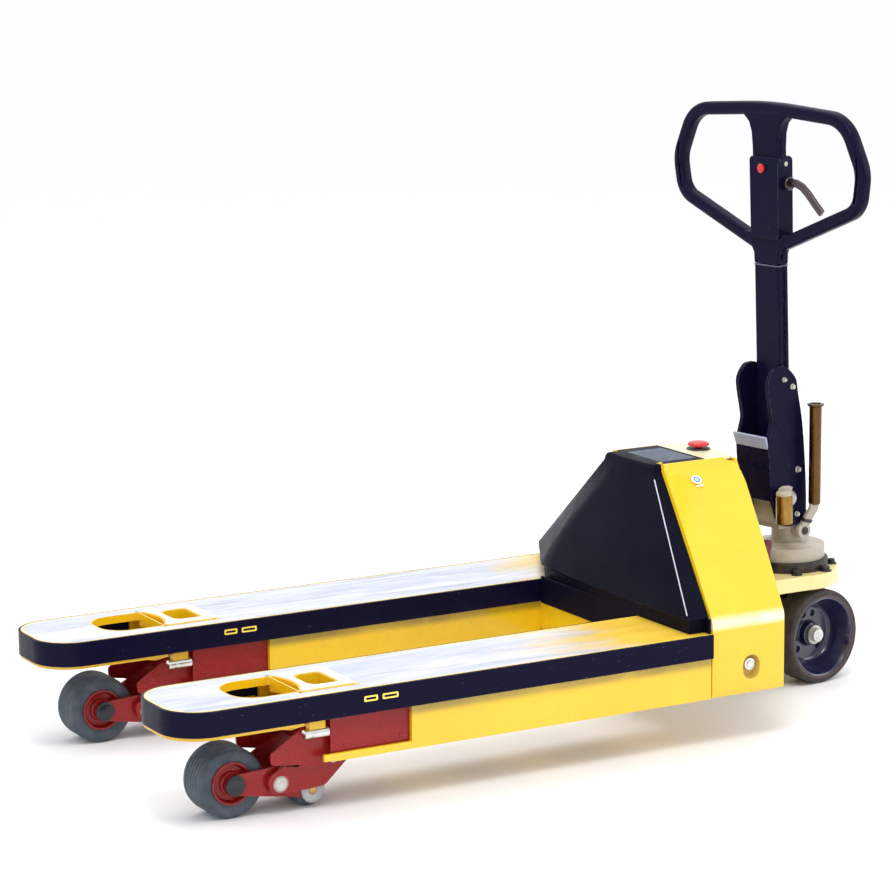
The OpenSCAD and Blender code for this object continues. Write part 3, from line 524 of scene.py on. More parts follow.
def cut(ob, bm, place=TRUCK):
    """Takes the closed shape in bm out of ob."""
    tool = bpy.data.objects.new("cutter", to_mesh("cutter", bm, place))
    scene.collection.objects.link(tool)
    kept = [m.name for m in ob.modifiers if m.type != "SOLIDIFY"]
    for key in kept:
        ob.modifiers[key].show_viewport = False
    mod = ob.modifiers.new("cut", "BOOLEAN")
    mod.object = tool
    mod.operation = "DIFFERENCE"
    mod.solver = "EXACT"
    if kept:
        ob.modifiers.move(ob.modifiers.find("cut"), len(ob.modifiers) - 1 - len(kept))
    bpy.context.view_layer.update()
    made = bpy.data.meshes.new_from_object(ob.evaluated_get(bpy.context.evaluated_depsgraph_get()))
    made.name = ob.name
    ob.data = made
    for m in list(ob.modifiers):
        if m.name not in kept:
            ob.modifiers.remove(m)
    for key in kept:
        ob.modifiers[key].show_viewport = True
    bpy.data.objects.remove(tool)


def plate(name, loops, axis, low, high, *look, **more):
    """A piece that is one prism. look and more are what add() takes after the mesh."""
    bm = bmesh.new()
    prism(bm, loops, axis, low, high)
    return add(name, bm, *look, **more)


def turning(name, profile, axis, centre, n, *look, **more):
    """A piece that is one turned part."""
    bm = bmesh.new()
    lathe(bm, profile, axis, centre, n)
    return add(name, bm, *look, **more)


def flip(profile, sign):
    """The profile along the axis, or its mirror image where sign is -1."""
    return [(r, sign * t) for r, t in profile]


def shift(profile, along):
    return [(r, along + t) for r, t in profile]


def span(sign, a, b):
    """Low and high end of a to b, or of their mirror image."""
    return sorted((sign * a, sign * b))


def lathe_pair(bm, profile, centre, n=48):
    """The turned part on both sides of the middle plane, with its axis along y."""
    for sign in (-1, 1):
        lathe(bm, flip(profile, sign), "y", centre, n)


def lerp(a, b, t):
    return a + (b - a) * t


# ---------- housing ----------
PANEL_X, END_X, CREASE_Z, TOP_Z = 968.0, 1113.0, 211.0, 427.0
PANEL_RISE = TOP_Z - 4 - CREASE_Z
TOP_X0, TOP_X1, TOP_HALF_W = PANEL_X + 70, END_X + 82, 80.0
SIDE_Y, BEAM_Z, SKIRT_Z = 335.0, 82.0, 218.0
COVER_HALF_W, COVER_X, COVER_BOW, COVER_SKEW = 323.0, 920.0, 8.0, 20.0
COVER_SLANT, SLANT_Y = 0.5, 155.0
RIGHT_PANEL_X = PANEL_X + COVER_SKEW + 56


def cover_front(y):
    s = y / COVER_HALF_W
    return COVER_X + COVER_BOW * s**2 + COVER_SKEW * (1 + s) / 2 + COVER_SLANT * max(0, y - SLANT_Y)


def cover_row(z, inset=0.0):
    """Outline of the cover at height z, from the left panel round the front to the right panel."""
    t = max(0.0, min(1.0, (z - SKIRT_Z) / (TOP_Z - 14 - SKIRT_Z)))
    swell = 9 * math.sin(math.pi * min(1.0, t * 1.25)) if t > 0 else 0
    half = lerp(COVER_HALF_W, TOP_HALF_W - 3, t) - inset
    row = [(lerp(PANEL_X, TOP_X0, t), -half, z)]
    for i in range(-12, 13):
        s = i / 12
        bottom = cover_front(s * COVER_HALF_W)
        top = TOP_X0 - 22 + 3 * s * s
        row.append((lerp(bottom, top, t) + inset - swell * (1 - s**4), s * half, z))
    row.append((lerp(RIGHT_PANEL_X, TOP_X0, t), half, z))
    return row


rows = [cover_row(192.6, 6), cover_row(213, 5), cover_row(216, 1.5), cover_row(SKIRT_Z)]
rows += [cover_row(lerp(SKIRT_Z, TOP_Z - 14, k / 14)) for k in range(1, 15)]
rows += [cover_row(TOP_Z - 8, 0.8), cover_row(TOP_Z - 4, 2.6), cover_row(TOP_Z - 1.4, 5.5)]
last = cover_row(TOP_Z - 0.6, 10)
rows += [last, [(TOP_X0 + 4, max(-76.0, min(76.0, y)), TOP_Z - 0.4) for x, y, z in last]]
bm = bmesh.new()
grid(bm, rows)
cover = add("front_moulding", bm, COVER, "fork_frame", bevel=2.2, angle=30, replaces=["front_cover"])
solidify(cover, 4)
bm = bmesh.new()
block(bm, (933.1, -153.5, 150.5), (938.8, 153.5, 199))
add("cover_apron", bm, COVER, "fork_frame", bevel=2)
bm = bmesh.new()
block(bm, (PANEL_X - 5, -331.4, 192.4), (PANEL_X - 0.5, -300, 217))
block(bm, (RIGHT_PANEL_X - 5, 300, 192.4), (RIGHT_PANEL_X - 0.5, 331.4, 217))
add("cover_feet", bm, COVER, "fork_frame", bevel=1.5)

# pale bead where the front face turns into the side band: a painted highlight
heights = range(int(SKIRT_Z) + 6, int(TOP_Z) - 20, 6)
bead = [Vector(cover_row(z)[1]) + Vector((-0.6, -0.6, 0)) for z in heights]
bm = bmesh.new()
sweep(bm, bead, circle(0, 0, 1.1, 8), up=(1, 1, 0))
add("cover_edge_highlight_bead", bm, plastic("painted_edge_highlight", (0.45, 0.46, 0.52), 0.4), "fork_frame")


def side_shell(sign, x0, name, node):
    """Yellow side panel: upright box, rounded crease, slanted panel with a round top corner."""
    rows = []

    def row(y, z, rise=0.0, back=0.0):
        front = lerp(x0, TOP_X0, rise) + 0.4
        rear = lerp(END_X, TOP_X1, rise) - 1.5 - back
        wide = [(lerp(front, rear, k / 10), sign * y, z) for k in range(11)]
        hem = [(rear + 1.2, sign * (y - 2), z - 0.4), (rear + 1.4, sign * (y - 14), z - 2)]
        rows.append([(front + 0.3, sign * (y - 12), z)] + wide + hem)

    row(SIDE_Y - 14, BEAM_Z + 1)
    row(SIDE_Y - 1.4, BEAM_Z + 1.4)
    for z in (BEAM_Z + 4, 110, 140, 170, 196):
        row(SIDE_Y, z)
    slope = math.atan2(SIDE_Y - TOP_HALF_W, PANEL_RISE)
    bend = 13
    for k in range(1, 7):
        a = slope * k / 6
        z = CREASE_Z - bend * math.tan(slope / 2) + bend * math.sin(a)
        y = SIDE_Y - bend * (1 - math.cos(a))
        row(y, z, max(0, (z - CREASE_Z) / PANEL_RISE))
    y0, z0 = y, z
    for k in range(1, 15):
        t = k / 14
        z = lerp(z0, TOP_Z - 8, t)
        y = lerp(y0, TOP_HALF_W + 4, t) + 2.5 * math.sin(math.pi * t)
        over = max(0.0, z - (TOP_Z - 42)) / 42
        row(y, z, (z - CREASE_Z) / PANEL_RISE, 26 * (1 - math.sqrt(max(0, 1 - over**2))))
    fold = ((0.8, 3.6, 27.5), (2.4, 6, 30.5), (5, 7.5, 33.5), (8, 7.6, 34.5), (12, 2, 36.5))
    for dy, dz, back in fold:
        row(TOP_HALF_W + 4 - dy, TOP_Z - 8 + dz, 1, back)
    bm = bmesh.new()
    grid(bm, rows)
    ob = add(name, bm, YELLOW_PANEL_PAINTED_HIGHLIGHT, "fork_frame", replaces=[node], angle=50)
    solidify(ob, 3.5)
    tool = bmesh.new()
    prism(tool, [slot_outline(RECESS_X[sign], RECESS_Z, 4, 17)], "y",
        *span(sign, SIDE_Y - 20, SIDE_Y + 8))
    cut(ob, tool)
    shade(ob.data, 40)
    soften(ob, 1.2, 2, 45)


RECESS_X, RECESS_Z = {-1: PANEL_X + 78, 1: END_X - 36}, BEAM_Z + 45
side_shell(-1, PANEL_X, "side_shell_left", "side_panel_left")
side_shell(1, RIGHT_PANEL_X, "side_shell_right", "side_panel_right")

# service recesses: dished cup, hexagon bolt, washer
# recess cups in a darker golden yellow than the panel: painted shade
RECESS_YELLOW_PAINTED_SHADE = paint("recess_yellow_painted_shade", (0.62, 0.40, 0.06), (0.9, 0.8, 0.5), 0.25, 0.5, 0.4)
for sign in (-1, 1):
    side = "left" if sign < 0 else "right"
    bm = bmesh.new()
    rings = []
    for r, depth in ((17.4, 0.2), (16.4, 0.6), (15.4, 3), (14.2, 8), (11, 11.5), (5, 12.5)):
        ring = slot_outline(RECESS_X[sign], RECESS_Z, 4, r)
        rings.append([bm.verts.new((u, sign * (SIDE_Y - depth), v)) for u, v in ring])
    skin(bm, rings)
    bm.faces.new(rings[-1])
    cup = add(f"recess_cup_{side}", bm, RECESS_YELLOW_PAINTED_SHADE, "fork_frame", replaces=["frame_fasteners"])
    solidify(cup, 1.2, 1)
    bm = bmesh.new()
    depths = ((0, 3), (5, 3), (6.5, 4), (6.8, 6), (10, 6.4), (10.4, 8), (10, 11))
    lathe(bm, flip([(r, SIDE_Y - d) for r, d in depths], sign), "y", (RECESS_X[sign] + 1, RECESS_Z + 3))
    add(f"recess_bolt_{side}", bm, CHROME, "fork_frame")

# badge: a plain white disc with a blue ring on the slanted panel
badge_normal = Vector((0, -PANEL_RISE, SIDE_Y - TOP_HALF_W)).normalized()
badge_turn = badge_normal.to_track_quat("Z", "Y").to_matrix().to_4x4()
badge_at = TRUCK @ Matrix.Translation((1.085, -0.1115, 0.4005)) @ badge_turn
WHITE = plastic("white_label", (0.82, 0.86, 0.88), 0.3, 0.05)
BLUE = plastic("blue_label", (0.02, 0.16, 0.42), 0.3, 0.05)
turning("badge_plain", [(0, 1.3), (8.6, 1.3), (9.4, 0.9), (9.6, 0)], "z", (0, 0), 48, WHITE,
    "fork_frame", badge_at, bevel=0.2)
plate("badge_ring", [circle(0, 0, 6.4), circle(0, 0, 3.6)], "z", 1.2, 1.6, BLUE, "fork_frame", badge_at)
plate("badge_underline", [rect(-7, -14.5, 7, -12.5, 1)], "z", -0.6, 0.9, WHITE, "fork_frame", badge_at)

# top: black frame round the mesh grille in front, cream plate behind
GRILLE_X0, GRILLE_X1, GRILLE_HALF = TOP_X0 + 10, TOP_X0 + 86, 56.0
opening = rect(GRILLE_X0, -GRILLE_HALF, GRILLE_X1, GRILLE_HALF, 6)
plate("grille_surround", [rect(TOP_X0 + 2, -75, GRILLE_X1 + 4, 75, 0), opening], "z", TOP_Z - 4.5,
    TOP_Z - 0.3, COVER, "fork_frame", bevel=0.8)
STOP_X, STOP_Y = TOP_X0 + 130, 6.0
bm = bmesh.new()
outline = symmetric(GRILLE_X1 + 4.3, TOP_X1 - 4, 76, 0, 22, 8)
prism(bm, [outline, circle(STOP_X, STOP_Y, 11)], "z", TOP_Z - 5, TOP_Z - 0.1)
add("top_plate", bm, CREAM, "fork_frame", bevel=1.6, replaces=["top_cover"])
bm = bmesh.new()
PITCH, WIRE = 4.0, 0.75
count = int((GRILLE_X1 - GRILLE_X0) / PITCH)
for i in range(1, count):
    x = GRILLE_X0 + i * PITCH
    sweep(bm, [(x, y, TOP_Z - 1.6 + 0.7 * math.cos(math.pi * y / PITCH)) for y in range(-56, 58, 2)],
        circle(0, 0, WIRE, 6), up=(0, 0, 1))
count = int(2 * GRILLE_HALF / PITCH)
for i in range(1, count):
    y = -GRILLE_HALF + i * PITCH
    sweep(bm, [(GRILLE_X0, y, TOP_Z - 1.6), (GRILLE_X1, y, TOP_Z - 1.6)], circle(0, 0, WIRE, 6),
        up=(0, 0, 1))
add("grille_mesh", bm, plastic("grille_wire", (0.10, 0.12, 0.16), 0.4, 0.1), "fork_frame",
    replaces=["vent_grille"])
bm = bmesh.new()
block(bm, (GRILLE_X0 - 3, -GRILLE_HALF - 3, TOP_Z - 9), (GRILLE_X1 + 3, GRILLE_HALF + 3, TOP_Z - 6))
add("grille_tray", bm, BLACK, "fork_frame", bevel=0.8)

# emergency stop: ribbed collar, stepped mushroom head
bm = bmesh.new()
z = TOP_Z
lathe(bm, shift([(7.2, -6), (10.6, -6), (10.6, 0), (21, 0.1), (21, 1.2), (20, 2.2), (18, 2.5),
    (7.2, 2.4)], z), "z", (STOP_X, STOP_Y))
for k in range(24):
    a = 2 * math.pi * k / 24
    rib_at = (STOP_X + 19.9 * math.cos(a), STOP_Y + 20.4 * math.sin(a))
    lathe(bm, shift([(0, 0.5), (1, 0.5), (1, 2), (0, 2.3)], z), "z", rib_at, 8)
add("stop_bezel", bm, BLACK, "fork_frame", replaces=["stop_collar"])
bm = bmesh.new()
lathe(bm, shift([(0, -16), (6.9, -16), (6.9, 6.3), (16, 6.4), (18.4, 7), (19, 8.6), (18.4, 11),
    (15.5, 12.7), (10, 13.1), (0, 13.1)], z), "z", (STOP_X, STOP_Y))
for k in range(3):
    a = 2 * math.pi * k / 3
    x, y = STOP_X + 9 * math.cos(a), STOP_Y + 9 * math.sin(a)
    block(bm, (x - 1.4, y - 1.4, z + 12.9), (x + 1.4, y + 1.4, z + 13.15))
add("stop_head", bm, RED_PLASTIC, "stop_button", replaces=["stop_button"])

# ---------- forks ----------
FORK_HALF_W, NOSE_R, NOSE_STEPS, TRIM_T, TRIM_Z, PLATE_TOP = 91.0, 67.0, 14, 5.0, 152.0, 192.0
LIP_YELLOW = paint("lip_yellow", (0.80, 0.46, 0.01), (0.3, 0.2, 0.08), 0.35, 0.8, 0.5)
TAPE = plastic("yellow_tape", (0.85, 0.62, 0.08), 0.4, 0.1)


def fork_loop(inset, x_end):
    return symmetric(inset, x_end, FORK_HALF_W - inset, NOSE_R - inset, 0, NOSE_STEPS)


def fork_band(outer, inner, x_end):
    """Strip round the sides and the nose of a fork, between two insets from its outline."""
    rear = NOSE_STEPS + 2
    loops = (fork_loop(inset, x_end) for inset in (outer, inner))
    outside, inside = (loop[rear:] + loop[:rear] for loop in loops)
    return outside + inside[::-1]


def hole_loop(grow):
    return symmetric(124 - grow, 226 + grow, 54 + grow, 42, 3, 10)


for side, at in FORK.items():
    body = "fork_frame"
    fork_end = (PANEL_X if side == "left" else RIGHT_PANEL_X) - 0.4
    plate(f"trim_band_{side}", [fork_band(0.35, TRIM_T, fork_end)], "z", TRIM_Z, PLATE_TOP, NAVY, body,
        at, bevel=1.6, replaces=[f"fork_trim_{side}"])
    # top plate with the nose hole and the cut-out for the insert
    cutout = rounded([(124, -54, 42), (221, -54, 0), (221, -61, 0), (326, -61, 0), (326, 61, 0),
        (221, 61, 0), (221, 54, 0), (124, 54, 42)], 12)
    plate(f"top_sheet_{side}", [fork_loop(TRIM_T + 0.1, fork_end), cutout], "z", PLATE_TOP - 6,
        PLATE_TOP, FORK_TOP, body, at, replaces=[f"fork_top_{side}"])
    # yellow lip under the nose, thickest at the tip
    plate(f"nose_lip_{side}", [fork_loop(2.5, 215), fork_loop(9, 214)], "z", TRIM_Z - 5, TRIM_Z + 4,
        LIP_YELLOW, body, at, bevel=1)
    # thin yellow line between the top plate and the trim, and the painted wall of the nose hole
    plate(f"edge_line_{side}", [fork_band(TRIM_T - 0.2, TRIM_T + 2.2, fork_end)], "z", PLATE_TOP - 3,
        PLATE_TOP + 0.25, TAPE, body, at)
    plate(f"nose_hole_wall_{side}", [hole_loop(0.6), hole_loop(-1.6)], "z", PLATE_TOP - 13,
        PLATE_TOP + 0.3, YELLOW, body, at, bevel=0.4)
    # guide flap over the load wheel
    bm = bmesh.new()
    flap = [(150, TRIM_Z + 2), (166, TRIM_Z - 4), (196, TRIM_Z - 9), (228, TRIM_Z - 4),
        (246, TRIM_Z + 4)]
    grid(bm, [[(x, y, z) for x, z in flap] for y in (-82, -40, 40, 82)])
    flap_ob = add(f"wheel_flap_{side}", bm, LIP_YELLOW, body, at, bevel=0.5)
    solidify(flap_ob, 2, 0)
    # cast insert: yellow well and cream flange with a bowed front
    front = [(240 - 13.5 * (k / 8) ** 2, 50 * k / 8) for k in range(-8, 9)]
    outline = [(326, 59.5), (228, 59.5), *reversed(front), (228, -59.5), (326, -59.5)]
    pocket = symmetric(254, 304, 37, 18, 9, 8)
    small = symmetric(256, 302, 35, 17, 8, 8)
    plate(f"insert_well_{side}", [outline, small], "z", PLATE_TOP - 24, PLATE_TOP + 0.6, YELLOW, body,
        at, bevel=1.2, replaces=[f"nose_insert_{side}"])
    raised = [(322, 55), (231, 57), *reversed([(x + 2.5, y * 1.02) for x, y in front]), (231, -57),
        (322, -55)]
    plate(f"insert_flange_{side}", [raised, pocket], "z", PLATE_TOP + 0.4, PLATE_TOP + 3, PALE_CREAM,
        body, at, bevel=1.3)
    # two plain yellow marks with a dark slot on each long side of the trim
    for sign in (-1, 1):
        for k, (x, long) in enumerate(((318, 24), (350, 28))):
            frame_loop = rect(x, 171, x + long, 180, 2, 3)
            slot_loop = rect(x + 3, 173.6, x + long - 3, 177.4, 1, 3)
            name = f"trim_mark_{side}_{'in' if sign > 0 else 'out'}_{k}"
            depth = span(sign, FORK_HALF_W - 1, FORK_HALF_W - 0.06)
            plate(name, [frame_loop, slot_loop], "y", *depth, TAPE, body, at)

# ---------- load wheel units ----------
ARM_X, ARM_Z, BOGIE_X, BOGIE_Z = 320.0, 122.0, 190.0, 50.0
WHEEL_X, WHEEL_Z, ROLLER_X, ROLLER_Z = 118.0, 56.0, 250.0, 29.0
plate_outline = rounded([(169, 62, 12), (172, 36, 14), (214, 34, 14), (266, 37, 16), (340, 104, 18),
    (341, 134, 14), (320, 143, 12), (300, 136, 14)], 6)
cheek_outline = rounded([(169, 101, 7), (171, 84, 6), (265, 67, 9), (282, 96, 6), (273, 151, 0),
    (246, 151, 0)], 6)
HUB_BLACK = plastic("black_hub_cap", (0.008, 0.008, 0.012), 0.22, 0.08)
for side, at in FORK.items():
    arm, bogie, wheel, roller = (f"{n}_{side}" for n in ("load_arm", "bogie", "load_wheel", "roller"))
    bm = bmesh.new()
    for sign in (-1, 1):
        prism(bm, [plate_outline, circle(ARM_X, ARM_Z, 12.2), circle(BOGIE_X, BOGIE_Z, 12.3)], "y",
              *span(sign, 46, 54))
    lathe(bm, [(12.2, -46), (17, -46), (17, 46), (12.2, 46)], "y", (ARM_X, ARM_Z))
    web = [(252, 96), (289, 117), (285, 124), (248, 103)]
    prism(bm, [web], "y", -46, 46)
    lug = rounded([(307, 116, 8), (333, 116, 8), (333, 160, 10), (307, 160, 10)], 6)
    prism(bm, [lug, circle(ARM_X, 150, 7.5), circle(ARM_X, ARM_Z, 12.2)], "y", -8, 8)
    add(f"arm_casting_{side}", bm, RED, arm, at, bevel=2.2, replaces=[arm])
    bm = bmesh.new()
    for x, z, r, proud in ((BOGIE_X, BOGIE_Z, 11, 57.2), (282, 78, 5, 56.5)):
        head = [(0, 53), (r + 2, 53.5), (r + 2, 55), (r, proud - 1), (r - 1.5, proud), (0, proud)]
        lathe_pair(bm, head, (x, z), 28)
    add(f"arm_bolts_{side}", bm, BOLT, arm, at)
    # fixed cheek plates that cover the pivot side of the arm
    bm = bmesh.new()
    for sign in (-1, 1):
        prism(bm, [cheek_outline], "y", *span(sign, 58.5, 62.5))
    for x, z in ((258, 84), (196, 103), (230, 130)):
        lathe_pair(bm, [(0, 62), (2.6, 62), (2.6, 63.2), (0, 63.6)], (x, z), 14)
    add(f"arm_cheek_{side}", bm, RED, "fork_frame", at, bevel=1.8)
    # chrome entry roller under a yellow tab, in front of the window
    bm = bmesh.new()
    for sign in (-1, 1):
        profile = [(0, 218), (7, 218), (8, 219.2), (8, 228), (7.2, 229), (7.2, 232), (8, 233),
            (8, 258.8), (7, 260), (0, 260)]
        lathe(bm, profile, "x", (sign * 80, 131), 28)
    add(f"entry_pin_{side}", bm, CHROME, "fork_frame", at)
    bm = bmesh.new()
    for sign in (-1, 1):
        low, high = span(sign, 70, 84)
        block(bm, (226, low, 137), (254, high, 152))
    add(f"entry_tab_{side}", bm, LIP_YELLOW, "fork_frame", at, bevel=1.5)
    # red guard plates that close the window in each side of the beam
    bm = bmesh.new()
    for sign in (-1, 1):
        low, high = span(sign, 73, 76)
        block(bm, (266, low, 92), (406, high, 152))
    for x in (292, 390):
        lathe_pair(bm, [(0, 75.6), (4.5, 75.6), (4.5, 77), (3.6, 77.5), (0, 77.5)], (x, 104), 16)
    add(f"window_guard_{side}", bm, RED, "fork_frame", at, bevel=0.6)
    # big wheel: ribbed tyre, red rim, black cap
    bm = bmesh.new()
    half = [(34, 30), (40, 32.4), (50, 32.8), (53.5, 31), (55.4, 27), (56, 22)]
    grooves = []
    for t in (18, 9, 0, -9, -18):
        grooves += [(56, t + 1.3), (54.6, t + 0.5), (54.6, t - 0.5), (56, t - 1.3)]
    profile = half + grooves + flip(reversed(half), -1)
    lathe(bm, profile + [profile[0]], "y", (WHEEL_X, WHEEL_Z), 64)
    add(f"ribbed_tyre_{side}", bm, LOAD_TYRE, wheel, at, replaces=[f"load_tyre_{side}"], angle=40)
    bm = bmesh.new()
    face = [(8.1, 31), (17, 32.2), (19, 30), (20, 25), (27, 24), (29.5, 27), (31, 32), (33.9, 32.4),
        (33.95, 30)]
    lathe(bm, face + flip(reversed(face), -1) + [face[0]], "y", (WHEEL_X, WHEEL_Z), 56)
    add(f"wheel_rim_{side}", bm, RED, wheel, at, replaces=[f"load_hub_{side}"], angle=30)
    # bogie caps: black dome over the axle, steel disc with a brass axle end at the roller
    bm = bmesh.new()
    dome = [(0, 42), (17, 43), (16.5, 45.5), (14, 47), (9, 48), (0, 48.2)]
    lathe_pair(bm, dome, (WHEEL_X, WHEEL_Z), 36)
    add(f"axle_dome_{side}", bm, HUB_BLACK, bogie, at)
    bm = bmesh.new()
    disc = [(0, 42.5), (19.5, 43), (20.5, 43.6), (20, 45), (17, 45.5), (14, 44), (8, 43.8), (0, 43.8)]
    lathe_pair(bm, disc, (ROLLER_X, ROLLER_Z), 40)
    add(f"roller_disc_{side}", bm, steel(f"scratched_disc_{side}", (0.42, 0.43, 0.45), 0.3, 0.9, 0.25),
        bogie, at)
    bm = bmesh.new()
    nut = [(0, 43.6), (6.8, 43.7), (6.8, 44.8), (5.6, 45.4), (0, 45.4)]
    lathe_pair(bm, nut, (ROLLER_X, ROLLER_Z), 6)
    lathe_pair(bm, [(0, 45.2), (3.6, 45.2), (3.2, 45.7), (0, 45.8)], (ROLLER_X, ROLLER_Z), 20)
    add(f"roller_nut_{side}", bm, BRASS, bogie, at, bevel=0.4)
    bm = bmesh.new()
    tread = [(7.1, 32.6), (22, 33), (26, 32), (28.4, 28.6), (29, 24), (29, 0)]
    lathe(bm, tread + flip(reversed(tread[:-1]), -1) + [tread[0]], "y", (ROLLER_X, ROLLER_Z), 48)
    add(f"roller_tread_{side}", bm, LOAD_TYRE, roller, at, replaces=[f"roller_{side}"], angle=40)

# ---------- steering unit ----------
WHEEL_R, WHEEL_OUT, WHEEL_W = 84.0, 97.0, 54.0
DISH = paint("dish_navy", (0.012, 0.011, 0.045), (0.3, 0.3, 0.42), 0.2, 0.5, 0.25, 0.6)
RIM_LINE = plastic("brown_rim_line", (0.07, 0.035, 0.02), 0.45, 0.2, (0.25, 0.15, 0.1))
for sign, side in ((-1, "left"), (1, "right")):
    body = f"steer_wheel_{side}"

    def turned(name, profile, mat, n=72, **more):
        made = bmesh.new()
        lathe(made, flip(profile, sign), "y", (0, WHEEL_R), n)
        return add(name, made, mat, body, STEER, **more)

    inner, outer = WHEEL_OUT - WHEEL_W, WHEEL_OUT
    profile = shift([(72.2, 0.6), (79, 0), (82, 1.6), (83.4, 5), (84, 9)], inner)
    profile += shift([(84, -9), (83.4, -5), (82, -1.8), (79, -0.2), (73, -0.8), (72.2, -4)], outer)
    turned(f"drive_tyre_{side}", profile + profile[:1], DARK_TYRE, replaces=[f"steer_tyre_{side}"],
        angle=50)
    turned(f"tyre_bead_{side}", shift([(72.3, -1), (73, -0.3), (74.6, -0.2), (75, -1), (72.3, -1)],
        outer), RIM_LINE)
    dish = shift([(72.1, -1.4), (70.5, -0.9), (68, -2.2), (66, -6), (57, -30), (54.5, -38), (52, -40.5),
        (49, -39.4), (46.5, -41), (24, -42), (22, -40), (20, -30), (18, -28.6), (12.6, -28.6)], outer)
    dish += shift([(12.6, 1), (66, 1), (70, 3), (72.1, 5)], inner)
    hub = turned(f"dish_hub_{side}", dish + [dish[0]], DISH, replaces=[f"steer_hub_{side}"], angle=28)
    made = bmesh.new()
    for k in range(3):
        a = math.radians(90 + 120 * k)
        for turn in (-0.3, 0.3):
            c = (36 * math.cos(a + turn), WHEEL_R + 36 * math.sin(a + turn))
            low, high = span(sign, outer - 46, outer - 36)
            prism(made, [circle(*c, 6.4, 20)], "y", low, high)
    cut(hub, made, STEER)
    made = bmesh.new()
    cap = shift([(0, -22), (12, -21), (12.6, -19), (12, -15), (10.4, -13.8), (0, -13.4)], outer)
    lathe(made, flip(cap, sign), "y", (0, WHEEL_R), 36)
    for k in range(5):
        a = 2 * math.pi * k / 5
        stud = shift([(0, -14), (1.6, -14), (1.2, -12.6), (0, -12.5)], outer)
        lathe(made, flip(stud, sign), "y", (6 * math.cos(a), WHEEL_R + 6 * math.sin(a)), 10)
    add(f"hub_cap_{side}", made, steel(f"cap_zinc_{side}", (0.75, 0.75, 0.72), 0.3, 0.6, 0.1),
        "steering", STEER)

# turntable: worn disc with a rolled rim, tall boss, side screw
turning("turntable_top", [(0, 216.6), (62, 216.6), (66, 218), (67.8, 221), (67.8, 233), (66, 237),
    (60, 239.6), (46, 240.6), (41, 243), (34, 246.4), (28.6, 248), (27.4, 252), (27, 286), (24, 288),
    (0, 288)], "z", (0, 0), 80, BEIGE, "steering", STEER, angle=30)
bm = bmesh.new()
for z0 in (262, 276):
    lathe(bm, [(0, -30.5), (3.2, -30.5), (4, -29.6), (4, -25), (0, -25)], "y", (15, z0), 20)
add("boss_screws", bm, BRASS, "steering", STEER, bevel=0.3)
bm = bmesh.new()
for k in range(8):
    a = math.radians(22.5 + 45 * k)
    c = (82 * math.cos(a), 82 * math.sin(a))
    lathe(bm, [(0, 198), (11, 198), (11, 200), (7.6, 200.4), (7.6, 206), (6, 207.4), (0, 207.8)], "z",
        c, 6 if k % 2 else 24)
add("ring_screws", bm, IRON, "chassis", TRUCK @ Matrix.Translation((1.354, 0, 0)), bevel=0.6,
    replaces=["ring_bolts"])

# ---------- brake lever: pipe with a flared mouth on a bent flat arm ----------
PIPE_X, PIPE_Y, PIPE_BOTTOM, PIPE_TOP = 8.0, -61.0, 318.0, 498.0
turning("lever_pipe", [(0, PIPE_BOTTOM), (9.4, PIPE_BOTTOM), (10.8, PIPE_BOTTOM + 3)] + shift([(11, -9),
    (12, -5), (14.6, -3.4), (15, -1.4), (14.4, 0), (9.4, 0), (8.6, -3), (8.6, -30), (0, -30)],
    PIPE_TOP), "z", (PIPE_X, PIPE_Y), 40, BRONZE, "brake_lever", STEER, replaces=["brake_lever"])
flat = rect(-10, -3.4, 10, 3.4, 1.4, 3)
path = [(PIPE_X, -61, 330), (PIPE_X, -61, 318), (PIPE_X - 1, -58.5, 308), (PIPE_X - 4, -52, 296),
    (2, -46, 284), (0, -42.4, 274), (0, -42, 262)]
bm = bmesh.new()
sweep(bm, path, flat, up=(0, -1, 0))
lathe(bm, [(6.2, -46), (14.4, -46), (15, -45), (15, -37), (6.2, -37), (6.2, -46)], "y", (0, 268))
add("lever_arm", bm, BEIGE, "brake_lever", STEER, bevel=0.8)
bm = bmesh.new()
sweep(bm, [(3.4, -49.6, 290.6), (1.8, -46.6, 285)], rect(-11, -4.4, 11, 4.4, 2, 3), up=(0, -1, 0))
lathe(bm, [(0, -49.4), (6, -49), (7, -48), (7, -45), (0, -45)], "y", (0, 268), 24)
add("lever_band", bm, BLACK, "brake_lever", STEER, bevel=0.5)

# ---------- drawbar ----------
LEAN_X = -30.0
plate_side = [(-52, 569), (-36, 566), (-14, 543), (-9, 516), (0, 465), (5, 401), (7, 345), (6, 300),
    (-2, 286), (-20, 280), (-48, 282), (-62, 296), (-70, 318), (-78, 344), (-82, 400), (-82, 440),
    (-73, 470), (-74, 488), (-80, 523), (-80, 546), (-66, 565)]


def smooth_loop(points, steps=4):
    """Closed Catmull-Rom curve through the points."""
    out = []
    n = len(points)
    for i in range(n):
        p0, p1, p2, p3 = (Vector(points[(i + k - 1) % n]) for k in range(4))
        for k in range(steps):
            t = k / steps
            square = (2 * p0 - 5 * p1 + 4 * p2 - p3) * t**2
            cube = (3 * p1 - p0 - 3 * p2 + p3) * t**3
            out.append(tuple(0.5 * (2 * p1 + (p2 - p0) * t + square + cube)))
    return out


yoke_loop = smooth_loop(plate_side)
bm = bmesh.new()
for sign in (-1, 1):
    prism(bm, [yoke_loop, circle(-32, 330, 10), circle(-20, 306, 4.6)], "y", *span(sign, 33, 41))
# folded web between the plates, with its top edge bent forwards
web = [(-74, 330), (-79, 352), (-82, 400), (-83, 424), (-90, 446), (-87, 448), (-78.5, 426), (-78, 400),
    (-75, 352), (-70, 330)]
prism(bm, [web], "y", -33, 33)
add("yoke_casting", bm, NAVY, "drawbar", DRAWBAR, bevel=2, replaces=["yoke_plates"])
